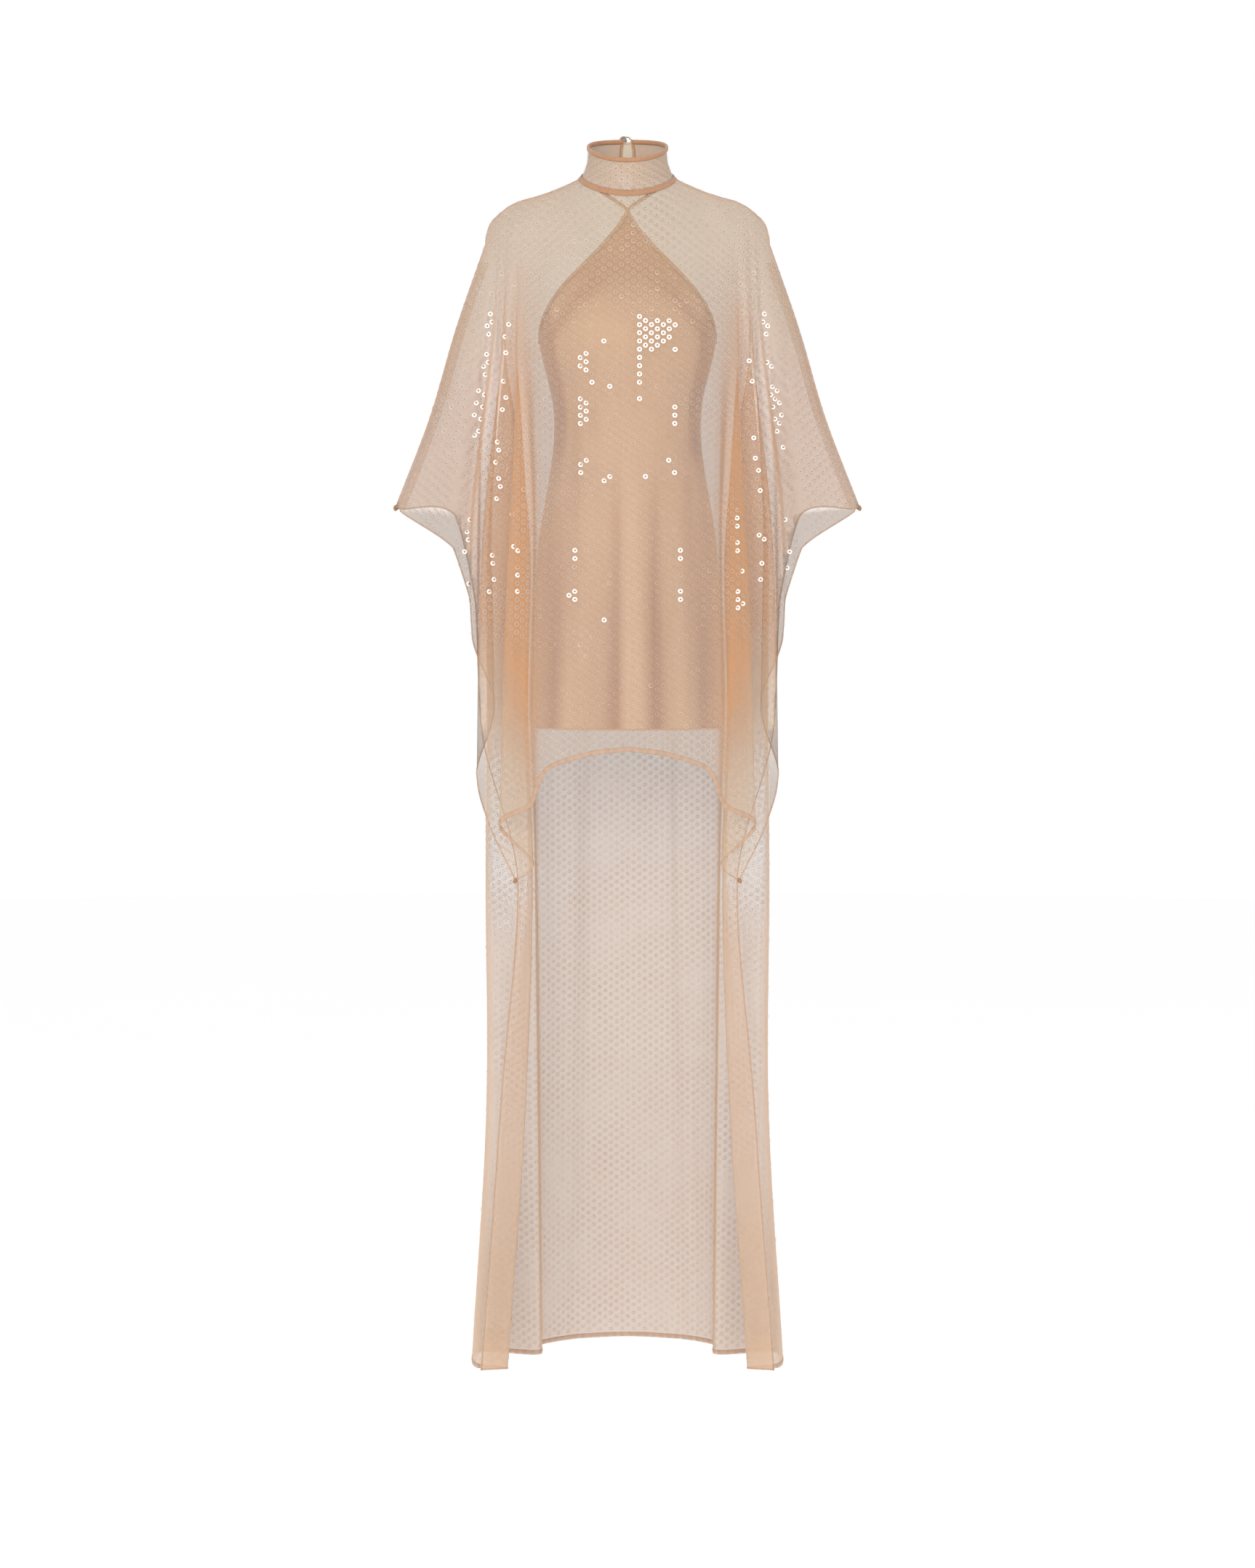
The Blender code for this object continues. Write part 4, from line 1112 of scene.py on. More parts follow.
def edge_path(edge, inner, inset, raised=0.0):
    """Path for a band on a cloth's edge: points, the way into the cloth, and its normal."""
    path = []
    for point, inside, run in zip(edge, inner, runs(edge)):
        into = inside - point
        into -= run * into.dot(run)
        into.normalize()
        normal = into.cross(run).normalized()
        path.append((point + into * inset + normal * raised, into, normal))
    return path


def stitches(name, path, length, gap, width, material):
    """Row of raised thread stitches along a path of (point, across, normal)."""
    points, faces = [], []
    run, start = 0.0, 0.0
    for (a, across, normal), (b, _, _) in zip(path, path[1:]):
        step = (b - a).length
        if step < 1e-7:
            continue
        along = (b - a) / step
        while start + length <= run + step:
            if start >= run:
                base = len(points)
                first = a + along * (start - run)
                for reach, half, lift in STITCH_PROFILE:
                    middle = first + along * (length * reach)
                    points.append(middle - across * (width / 2 * half))
                    points.append(middle + normal * (width * 0.6 * lift))
                    points.append(middle + across * (width / 2 * half))
                for ring in range(3):
                    low = base + ring * 3
                    for side in range(3):
                        after = (side + 1) % 3
                        faces.append((low + side, low + 3 + side, low + 3 + after, low + after))
                faces += [(base, base + 1, base + 2), (base + 11, base + 10, base + 9)]
            start += length + gap
        run += step
    return add_piece(name, new_mesh(name, points, faces), material)


def foremost(spots, glints):
    """Numbers of the sequins that shine: of each glint's place, only those in front."""
    def shares(middle):
        return [g.share for g in glints if abs(middle.z - g.z) < g.half_height
                and abs(middle.x - g.x - g.lean * (middle.z - g.z)) < g.half_width]

    found = [number for number, (middle, _, normal, _) in enumerate(spots)
             if normal.y < GLINT_FACING and shares(middle)]
    found.sort(key=lambda number: spots[number][0].y)
    kept = []
    for number in found:
        here = spots[number][0]
        if all(math.hypot(here.x - spots[other][0].x, here.z - spots[other][0].z)
               > GLINT_SPACING for other in kept):
            kept.append(number)
    return {number for number in kept if spots[number][3][2] < max(shares(spots[number][0]))}


def sequin_spots(rows, sizes, chance):
    """Places of sequins along rows of cloth: every second column, the next row between them.

    Each row has its start in columns, its points, the way down the cloth, which of the points
    lie on the cloth, and the direction of its outside. Each spot has its middle, the way along
    its row, its normal and four draws of luck.
    """
    spots = []
    for start, line, falls, on_cloth, outward in rows:
        along = np.concatenate([[0.0], np.linalg.norm(np.diff(line, axis=0), axis=1).cumsum()])
        places = np.arange(start, along[-1] / sizes.sequin_column - 0.4, 2.0) * sizes.sequin_column
        if not len(places):
            continue

        def at(values):
            return np.stack([np.interp(places, along, values[:, axis]) for axis in range(3)], 1)

        good = np.interp(places, along, on_cloth.astype(float)) > 0.999
        slopes = at(np.gradient(line, along, axis=0))
        outsides = at(np.broadcast_to(outward, line.shape))
        for middle, a, f, out in zip(at(line)[good], slopes[good], at(falls)[good],
                                     outsides[good]):
            a = Vector(a).normalized()
            normal = a.cross(Vector(f)).normalized()
            if normal.dot(Vector(out)) < 0.0:
                normal = -normal
            luck = (chance.gauss(0.0, 1.0), chance.gauss(0.0, 1.0), chance.random(),
                    chance.random())
            spots.append((Vector(middle), a, normal, luck))
    return spots


def sequins_on(name, rows, sizes, material, chance, glints=(), strength=1.0, scale=1.0):
    """Clear discs sewn on rows of cloth; those at the glints turn to the key lamp and their shine
    paints a highlight on them.
    """
    radius = scale * sizes.sequin_diameter / 2
    turns = [2 * math.pi * step / SEQUIN_CORNERS for step in range(SEQUIN_CORNERS)]
    spots = sequin_spots(rows, sizes, chance)
    shining = foremost(spots, glints)
    discs, shines, shades = [], [], []
    for number, (middle, a, normal, luck) in enumerate(spots):
        shine = number in shining
        if shine:
            to_camera = (CAMERA_PLACE - middle).normalized()
            normal = (to_camera + (KEY_LAMP - middle).normalized()).normalized()
        if normal.cross(a).z < 0.0:
            a = -a
        spread = (GLINT_TILT if shine else 1.0) * sizes.sequin_tilt
        b = normal.cross(a).normalized()
        normal = (normal + a * (luck[0] * spread) + b * (luck[1] * spread)).normalized()
        a = b.cross(normal).normalized()
        b = normal.cross(a)
        middle = middle + normal * (SEQUIN_LIFT * (1.0 + luck[3]))
        discs.append(tuple(middle + normal * SEQUIN_DOME))
        discs += [tuple(middle + a * (radius * math.cos(turn)) + b * (radius * math.sin(turn)))
                  for turn in turns]
        patch = noise.noise(middle * 14.0) + 0.4 * noise.noise(middle * 40.0)
        # shine: painted highlight of the discs turned to the key lamp
        shines.append(1.0 if shine else 0.0)
        shade = max(0.35, 0.95 + 0.8 * patch + 0.3 * (luck[3] - 0.5))
        shades.append(shade * (strength(middle) if callable(strength) else strength))
    points_each = SEQUIN_CORNERS + 1
    faces = [(base, base + 1 + step, base + 1 + (step + 1) % SEQUIN_CORNERS)
             for base in range(0, len(discs), points_each) for step in range(SEQUIN_CORNERS)]
    mesh = new_mesh(name, discs, faces)
    # The rim is darker on each disc's lower side: a painted shadow
    rim = [0.94 - 0.10 * math.sin(turn + 0.6) for turn in turns]
    set_attribute(mesh, "rim", ([0.0] + rim) * len(spots))
    set_attribute(mesh, "shine", np.repeat(shines, points_each))
    set_attribute(mesh, "shade", np.repeat(shades, points_each))
    return add_piece(name, mesh, material)


def panel_rows(panel, hand, sizes):
    """Rows of sequins of half a panel, over the yoke and then level by level to the hem.

    Those of the sleeve are counted from its ridge inwards, so they follow its slope.
    """
    steps_per_fold = 14
    sleeve = panel.last - 2
    yoke_rows = max(3, round((panel.top_edge(0.0).z - YOKE_LEVEL) / sizes.sequin_row))
    outward = np.array((0.0, panel.side, 0.12))
    inner = [step / steps_per_fold for step in range(sleeve * steps_per_fold + 1)]
    outer = [panel.last - step / steps_per_fold for step in range(2 * steps_per_fold)]
    whole = inner + outer[::-1]
    centre_starts = (0.0 if hand < 0 else 2.0, 1.0)
    for numbers, starts in ((whole, centre_starts), (inner, centre_starts), (outer, (0.5, 1.5))):
        lines, marks = [], []
        hems = [panel.hem(q) for q in numbers]
        if numbers is whole:
            for row in range(1, yoke_rows + 1):
                lines.append([panel.yoke(q, row / yoke_rows, hand) for q in numbers])
                marks.append([True] * len(numbers))
        else:
            level, lowest = YOKE_LEVEL - sizes.sequin_row, min(hems)
            while level > lowest + SEQUIN_LOWEST_ROW:
                lines.append([panel.hanging(q, level, hand) for q in numbers])
                marks.append([level > hem + SEQUIN_HEM_GAP for hem in hems])
                level -= sizes.sequin_row
            starts = starts[::-1] if yoke_rows % 2 and numbers is inner else starts
        arrays = [np.array([tuple(point) for point in line]) for line in lines]
        for index, (line, mark) in enumerate(zip(arrays, marks)):
            above, below = arrays[max(index - 1, 0)], arrays[min(index + 1, len(arrays) - 1)]
            yield starts[index % 2], line, below - above, np.array(mark), outward


def turned_of(mesh):
    """How many more threads lie behind each other where the cloth turns from its own plane."""
    normals = np.empty(len(mesh.vertices) * 3, dtype=np.float32)
    mesh.vertices.foreach_get("normal", normals)
    facing = np.abs(normals.reshape(-1, 3)[:, 1])
    return np.clip(1.0 / np.maximum(facing, 0.2) - 1.0, 0.0, 4.0)


def reach_of(panel, z):
    """How far a panel reaches sideways at a height."""
    return max(panel.hanging(q, z, 1).x for q in np.arange(0.0, panel.last + 0.01, 0.25)
               if panel.hem(q) <= z)


def ramp(values, start, reach):
    """0 up to the start and 1 from start + reach on; a reach below 0 turns the ramp round."""
    return np.clip((values - start) / reach, 0.0, 1.0)


def front_looks(numbers, widths, heights, low, turned, depth, cover):
    """Looks of the front in its cascades, corners and outer flutes, and where it hangs alone.

    They are the threads that its turning adds, the folds' colour, partly painted shade, the cover,
    the pale tint, painted light, and the share that hangs alone.
    """
    cascade = ramp(heights, CASCADE_TOP, -0.10) * ramp(numbers, 2.6, 1.0)
    corner = ramp(heights, CORNER_TOP, -0.10) * ramp(widths, 0.168, 0.010)
    flute = ramp(widths, 0.205, 0.015) * ramp(numbers, 9.5, -1.0)
    levels = np.arange(-1.10, -0.47, 0.004)
    reaches = [reach_of(BACK, level) - 0.004 for level in levels]
    alone = ramp(widths, np.interp(heights, levels, reaches, right=1.0), 0.0015)
    turned *= 1.0 - 0.6 * np.maximum(cascade, np.maximum(0.9 * corner, 0.8 * flute))
    turned *= 1.0 - 0.7 * alone
    # Side shades: painted shade that deepens the folds' colour and adds cover.
    side = sum(shade.strength * np.exp(-((numbers - shade.number) / shade.spread) ** 2
                                       - ((heights - shade.z) / shade.height) ** 2)
               for shade in SIDE_SHADES)
    depth = depth * np.maximum(ramp(heights, -1.00, 0.35), 0.30) + side
    depth *= 1.0 - np.maximum(0.40 * corner, 0.25 * flute)
    cover = cover + 0.9 * side - np.maximum(0.65 * cascade, 0.30 * corner) * (1.0 - alone)
    cover += alone * (1.1 - 0.95 * np.exp(-((heights + 0.80) / 0.07) ** 2))
    # Pale tint: painted light on the yoke and where the cascades, corners and outer flutes turn to
    # the light.
    pale = np.maximum(1.0 - low, np.maximum(0.8 * np.maximum(cascade, corner), 0.5 * flute))
    return turned, 0.30 * turned + depth, cover, pale, alone


def back_looks(numbers, heights, low, turned, depth, cover, pale):
    """Looks of the back behind the front, down the tail and along the hem, as for the front."""
    turned *= 0.45 + 0.55 * ramp(numbers, 3.4, 1.0)
    cover += 0.7 * ramp(heights, -1.672, -0.03) * (numbers > 5.6)
    behind = ramp(heights, -1.12, 0.10) * ramp(heights, CASCADE_TOP, -0.10)
    cover -= 0.35 * behind * ramp(numbers, 4.6, 1.0)
    cover += 0.18 * low * (ramp(heights, -1.05, -0.45) - 0.45)
    cover += 0.18 * ramp(heights, -1.40, -0.20) * (numbers > 5.0)
    # Pale tint: painted light on the back's turned sides, none on the yoke and less of it near the
    # tail's hem.
    pale = pale * low * np.maximum(ramp(heights, -1.70, 0.30), 0.35)
    return turned, 0.40 * turned + depth, cover, pale, np.zeros(len(numbers))


def make_panel(panel, name, grid, material):
    """The cloth of a panel as one fine surface; the back one is slit for the keyhole."""
    per_fold, yoke_rows, hanging_rows = grid
    half = panel.last * per_fold
    slit = panel.side > 0
    columns = 2 * half + slit

    def number_of(column):
        return abs((column - 1 if slit and column > half else column) - half) / per_fold

    def place(column, row):
        down = (row - yoke_rows) / (yoke_rows if row < yoke_rows else hanging_rows)
        return panel.point(number_of(column), down, -1 if column <= half else 1)

    mesh = grid_mesh(name, columns, yoke_rows + hanging_rows, place, (half,) if slit else ())
    numbers = np.tile([number_of(column) for column in range(columns + 1)],
                      yoke_rows + hanging_rows + 1)
    places = np.empty(len(mesh.vertices) * 3, dtype=np.float32)
    mesh.vertices.foreach_get("co", places)
    widths, heights = np.abs(places.reshape(-1, 3)[:, 0]), places.reshape(-1, 3)[:, 2]
    low = ramp(heights, YOKE_LEVEL, -0.22)
    turned = turned_of(mesh) * (1.0 - 0.7 * ramp(numbers, panel.last - 0.8, 1.0))
    depth, cover, pale = (np.interp(numbers, [tint.number for tint in panel.tints],
                                    [getattr(tint, field) for tint in panel.tints])
                          for field in ("depth", "cover", "pale"))
    depth, cover = depth * low, cover * low
    if slit:
        looks = back_looks(numbers, heights, low, turned, depth, cover, pale)
    else:
        looks = front_looks(numbers, widths, heights, low, turned, depth, cover)
    turned, depth, cover, pale, alone = looks
    # depth carries the folds' colour, partly painted shade; pale carries the pale tint, painted
    # light.
    set_attribute(mesh, "depth", np.clip(depth, 0.0, 1.0))
    set_attribute(mesh, "turned", (0.12 + 0.88 * low) * panel.turn_cover * turned + cover)
    set_attribute(mesh, "pale", pale)
    set_attribute(mesh, "alone", alone)
    if slit:
        weld(mesh)
    return add_piece(name, mesh, material)


def plain_net(mesh):
    """Gives a small mesh of net the looks of net that hangs flat."""
    for name in ("turned", "depth", "pale", "alone"):
        set_attribute(mesh, name, [0.0] * len(mesh.vertices))
    return mesh


def panel_hem(panel, word, sizes, colours):
    """Turned hem of a panel, which runs on as the rolled edges of its open sides."""
    total = panel.last * EDGE_STEPS
    numbers = [step / EDGE_STEPS for step in range(-total, total + 1)]
    edge, inner = (
        [panel.hanging(abs(q), panel.hem(abs(q)) + rise, -1 if q < 0 else 1) for q in numbers]
        for rise in (0.0, 0.004))
    return sweep(f"{word}_hem", edge_path(edge, inner, HEM_INSET), hem_width_of(panel, sizes),
                 HEM_THICKNESS, ribbed_finish(f"{word} hem", colours.hem, 0.0120, 0.62))


def panel_sequins(panel, word, sizes, colours, seed, glints, strength):
    """Sequins of both halves of a panel."""
    rows = [row for hand in (-1, 1) for row in panel_rows(panel, hand, sizes)]
    return sequins_on(f"{word}_sequins", rows, sizes,
                      sequin_finish(f"{word} sequins", colours.sequin), random.Random(seed),
                      glints, strength)


def front_strength(middle):
    """How clearly a sequin of the front shows: most on the yoke and beside the slip."""
    yoke = 0.4 * eased((middle.z + 0.26) / 0.08)
    beside = eased((abs(middle.x) - 0.12) / 0.03) * (0.5 - eased((-0.62 - middle.z) / 0.10))
    return 0.95 + yoke + beside


def back_strength(middle):
    """How clearly a sequin of the back shows: most on the tail."""
    return 0.9 + 0.6 * eased((TAIL_TOP - middle.z) / 0.10)


def hem_width_of(panel, sizes):
    """Width of the turned hem between the corners, narrowing to the rolled edge beyond them."""
    turned, rolled = sizes.hem_width, sizes.rolled_width
    flat_end = (panel.corner - 2.2) / panel.last

    def width(share):
        away = abs(share - 0.5) * 2.0
        return turned + (rolled - turned) * eased((away - flat_end) * 12.0)
    return width


def knot(name, place, size, lean, material):
    """Small tuck where a hem's end is sewn over itself."""
    profile = ((0.0, 0.10), (0.18, 0.62), (0.45, 1.0), (0.72, 0.86), (0.92, 0.50), (1.0, 0.12))
    aside = lean.orthogonal()
    path = [(place + lean * (size * (share - 0.5)), aside.normalized(),
             lean.cross(aside).normalized()) for share, _ in profile]

    def girth(share):
        return size * 0.8 * profile[round(share * (len(profile) - 1))][1]
    return sweep(name, path, girth, lambda share: girth(share) * 0.8, material)


def slip_section(z):
    """Half width and the two half depths of the slip at a height."""
    depths = [-section.z for section in SLIP_SECTIONS]
    return [
        smooth(depths, [getattr(section, field) for section in SLIP_SECTIONS], -z)
        for field in ("half_width", "front", "back")
    ]


def slip_gathers(side, x, z):
    """How far the soft folds of the slip stand out at an angle, below 0 in their troughs."""
    out = 0.0
    for fold in SLIP_FOLDS:
        if fold.side == side:
            share = eased((fold.top - z) / (fold.top - SLIP_HEM_Z))
            away = (x - fold.angle - fold.sway * share) / fold.width
            out += fold.depth * share * math.exp(-away * away)
    return out


def slip_fold(side, angle, z, hand):
    """Folds of the slip below the bust and its fullness over the bust."""
    out = slip_gathers(side, hand * angle, z)
    if side < 0:
        bust = math.exp(-((angle - 30.0) / 19.0) ** 2 - ((z + 0.205) / 0.052) ** 2)
        out += SLIP_BUST_FULLNESS * bust
    return out + 0.0007 * noise.noise(Vector((hand * angle * 0.11, z * 9.0, 5.0 * side)))


def slip_point(side, angle, z, hand=1, out=0.0):
    """Point of the slip and its normal; the angle runs from the centre to the side seam."""
    half_width, front, back = slip_section(z)
    depth = front if side < 0 else back
    a = math.radians(angle)
    normal = Vector((hand * depth * math.sin(a), side * half_width * math.cos(a), 0.0)).normalized()
    point = Vector((hand * half_width * math.sin(a), side * depth * math.cos(a), z))
    fold = slip_fold(side, angle, z, hand) * eased((90.0 - angle) / 14.0)
    return point + normal * (out + fold), normal


def slip_top(side, angle):
    """Height of the slip's top edge: a halter neckline in front, a shallow dip behind."""
    if side < 0:
        return SLIP_APEX_Z + (SLIP_SIDE_TOP_Z - SLIP_APEX_Z) * (angle / 90.0) ** SLIP_EDGE_CURVE
    dip = math.cos(math.radians(angle))
    return SLIP_SIDE_TOP_Z + (SLIP_BACK_TOP_Z - SLIP_SIDE_TOP_Z) * dip


def slip_painted_shade(side, angle, down):
    """Painted shade of the slip: darker at the throat, in a band below the front's top edge, at its
    sides, in an upright stripe on each side of the bodice, towards the hem and in the troughs of
    its folds, lighter on the folds' crests, with the upright bands of SLIP_SHADES.
    """
    turned = abs(angle)
    top = slip_top(side, turned)
    z = top + (SLIP_HEM_Z - top) * down
    throat = eased((z - SLIP_APEX_Z + 0.20) / 0.17)
    # Painted shade in a band below the front's top edge
    facing = math.exp(-((top - z - 0.048) / 0.016) ** 2) if side < 0 else 0.0
    bodice = eased((z + 0.46) / 0.10)
    sides = eased((turned - 54.0) / 12.0) * (0.12 + 0.88 * bodice)
    # Painted shade in an upright stripe on each side of the bodice
    dart = 0.35 * math.exp(-((turned - 57.0) / 3.0) ** 2) * bodice * eased((-0.20 - z) / 0.03)
    low = eased((-0.45 - z) / 0.25)
    depth = throat + 0.55 * facing * (1.0 - throat) + sides + dart + 0.12 * low
    x = slip_section(z)[0] * math.sin(math.radians(angle))
    for band in SLIP_SHADES:
        if band.side == side:
            length = eased((band.top - z) / 0.12)
            depth += band.depth * length * math.exp(-((x - band.x) / band.half_width) ** 2)
    # Painted shade in the folds' troughs and painted light on their crests
    return min(1.0, max(0.0, depth + 0.25 - 120.0 * slip_gathers(side, angle, z)))


def strap_path(hand, beside):
    """Binding of half the slip's front edge, on over the throat to the neck seam.

    The left one, hand -1, crosses in front of the right one.
    """
    crossing = STRAP_CROSSING_LIFT if hand < 0 else 0.0
    spine, outs = [], []
    edge_steps, strap_steps = 60, 20
    for step in range(edge_steps):
        angle = 88.5 * (1.0 - step / edge_steps)
        lift = crossing * math.exp(-((angle / 12.0) ** 2))
        z = slip_top(-1, angle) - STRAP_SEAT
        point, normal = slip_point(-1, angle, z, hand, beside + lift)
        spine.append(point)
        outs.append(normal)
    throat = slip_point(-1, 0.0, SLIP_APEX_Z)[0]
    throat.y -= beside + crossing
    seam = neck_seam(STRAP_TOP_ANGLE)
    end = Vector((-hand * seam.x, seam.y + STRAP_TOP_INSET, seam.z - STRAP_TOP_INSET))
    for step in range(strap_steps + 1):
        share = step / strap_steps
        spine.append(throat.lerp(end, share))
        outs.append(Vector((-hand * 0.35 * share, -1.0, 0.25 * share)).normalized())
    path = []
    for point, out, run in zip(spine, outs, runs(spine)):
        across = out.cross(run).normalized()
        path.append((point, across, run.cross(across).normalized()))
    return path


class KAFTAN_OT_front_panel(bpy.types.Operator):
    """Front panel: its cloth, lower edge and sequins"""
    bl_idname = "kaftan.front_panel"
    bl_label = "Front panel"

    def execute(self, context):
        sizes, colours = context.scene.kaftan_sizes, context.scene.kaftan_colours
        # Pale tint: the yoke's painted light; folds' colour: partly painted shade; where the front
        # hangs alone, a darker copy of the back tulle's painted shade.
        cloth = make_panel(FRONT, "front_cloth", FRONT_GRID, tulle_finish(
            "front tulle", 0.38, colours.tulle_front, colours.tulle_yoke, colours.tulle_folds,
            scaled(colours.tulle_back, 0.64)))
        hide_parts("front_panel")
        hem = panel_hem(FRONT, "front", sizes, colours)
        for hand, word in HANDS:
            corner = FRONT.point(FRONT.corner, 1.0, hand)
            finish = ribbed_finish(f"{word} corner tuck", scaled(colours.binding, 0.9), 0.002, 0.95)
            knot(f"front_corner_tuck_{word}", corner + Vector((0.0, 0.0, 0.002)),
                              0.009, Vector((hand * 0.5, -0.1, -0.85)).normalized(), finish)
        glints = BODICE_GLINTS + tuple(
            glint._replace(x=hand * glint.x, lean=hand * glint.lean)
            for hand in (-1, 1) for glint in SLEEVE_GLINTS)
        sequins = panel_sequins(FRONT, "front", sizes, colours, 11, glints, front_strength)
        return {"FINISHED"}


class KAFTAN_OT_back_panel(bpy.types.Operator):
    """Floor-length back panel: its cloth, lower edge and sequins"""
    bl_idname = "kaftan.back_panel"
    bl_label = "Back panel"

    def execute(self, context):
        sizes, colours = context.scene.kaftan_sizes, context.scene.kaftan_colours
        # The back tulle is painted shade, its pale tint painted light and its folds' colour partly
        # painted shade.
        cloth = make_panel(BACK, "back_cloth", BACK_GRID, tulle_finish(
            "back tulle", 0.62, colours.tulle_back, colours.tulle_pale,
            colours.tulle_tail_folds, colours.tulle_back))
        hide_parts("back_panel")
        hem = panel_hem(BACK, "back", sizes, colours)
        sequins = panel_sequins(BACK, "back", sizes, colours, 23, (), back_strength)
        return {"FINISHED"}


def side_line(hand):
    """Line where the panels meet, along the shoulder and down the sleeve to the cuff."""
    line = [mirrored((shoulder_seam(step / 24, -1) + shoulder_seam(step / 24, 1)) / 2, hand)
            for step in range(24)]
    line += [(FRONT.point(FRONT.last, row / 12 - 1.0, hand)
              + BACK.point(BACK.last, row / 12 - 1.0, hand)) / 2 for row in range(13)]
    fall = FRONT.hem(FRONT.last) - YOKE_LEVEL
    for step in range(1, 61):
        z = YOKE_LEVEL + fall * step / 60
        line.append((FRONT.hanging(FRONT.last, z, hand) + BACK.hanging(BACK.last, z, hand)) / 2)
    return line


class KAFTAN_OT_shoulder_seams(bpy.types.Operator):
    """Seams over the shoulders and along the sleeves, with the tucks at the cuffs"""
    bl_idname = "kaftan.shoulder_seams"
    bl_label = "Shoulder seams"

    def execute(self, context):
        colours = context.scene.kaftan_colours
        finish = ribbed_finish("shoulder seams", colours.hem, 0.0035, 0.45)
        allowance_finish = ribbed_finish("seam allowance", colours.hem, 0.0035, 0.30)
        tuck_finish = ribbed_finish("cuff tucks", scaled(colours.binding, 0.75), 0.002, 0.97)
        for hand, word in HANDS:
            line = side_line(hand)
            path = []
            for point, run in zip(line, runs(line)):
                forwards = (run * BACKWARDS.dot(run) - BACKWARDS).normalized()
                path.append((point, run.cross(forwards).normalized(), forwards))
            sweep(f"shoulder_seam_{word}", path, SEAM_CORD, SEAM_CORD, finish)
            allowance = []
            for point, across, forwards in path[40:]:
                inwards = Vector((-hand * abs(across.x), 0.0, -abs(across.z) * 0.3)).normalized()
                allowance.append((point + inwards * ALLOWANCE_INSET + BACKWARDS * 0.0012,
                                  inwards, forwards))
            sweep(f"seam_allowance_{word}", allowance, ALLOWANCE_WIDTH, ALLOWANCE_THICKNESS,
                  allowance_finish)
            knot(f"cuff_tuck_{word}", line[-1] + Vector((-hand * 0.001, 0.0, 0.001)), 0.010,
                 (line[-1] - line[-3]).normalized(), tuck_finish)
        return {"FINISHED"}


def neck_band_line(angle):
    """Points across the band over the neck seam, from the collar over the seam to the panel."""
    turned = abs(angle)
    panel, top = (FRONT, turned / 90.0) if turned <= 90.0 else (BACK, (180.0 - turned) / 90.0)
    q = float(np.interp(top, [fold.top for fold in panel.folds], range(len(panel.folds))))
    seam = neck_seam(turned)
    rise = (collar_point(turned, 0.02) - seam).normalized()
    fall = (panel.yoke(q, 0.04, 1, False) - seam).normalized()
    around = (neck_seam(turned + 1.0) - neck_seam(turned - 1.0)).normalized()
    on_collar = around.cross(rise).normalized()
    on_panel = -around.cross(fall).normalized()
    half, beside = NECK_BAND / 2, NECK_BAND_LIFT
    line = (
        seam + rise * half + on_collar * beside,
        seam + rise * (half * 0.5) + on_collar * (beside * 1.15),
        seam + (on_collar + on_panel).normalized() * (beside * 1.25),
        seam + fall * (half * 0.5) + on_panel * (beside * 1.15),
        seam + fall * half + on_panel * beside,
    )
    return [mirrored(point, -1 if angle < 0 else 1) for point in line]


def collar_end_path(hand):
    """Path of the binding on an end of the collar, which leans over the slit at its top."""
    path = []
    for step in range(15):
        height = 0.03 + 0.95 * step / 14
        point, outward, up = collar_frame(collar_end_angle(height) - 2.1, height)
        around = outward.cross(up).normalized()
        point.x -= 0.0024 * eased((height - 0.50) / 0.48) ** 2
        path.append(tuple(mirrored(part, hand) for part in (point, around, outward)))
    return path


def collar_rows():
    """Rows of sequins round the collar, as for a panel."""
    for hand in (-1, 1):
        for row in range(COLLAR_ROWS):
            height = 0.09 + 0.80 * row / (COLLAR_ROWS - 1)
            end = collar_end_angle(height) - 3.0
            line, above = (
                np.array([tuple(collar_point(end * step / 60, height + rise))
                          for step in range(61)]) * (hand, 1.0, 1.0) for rise in (0.0, 0.05))
            outward = (line - (0.0, COLLAR_SETBACK, 0.0)) * (1.0, 1.0, 0.0)
            start = row % 2 if row % 2 or hand < 0 else 2
            yield start, line, line - above, np.ones(61, dtype=bool), outward


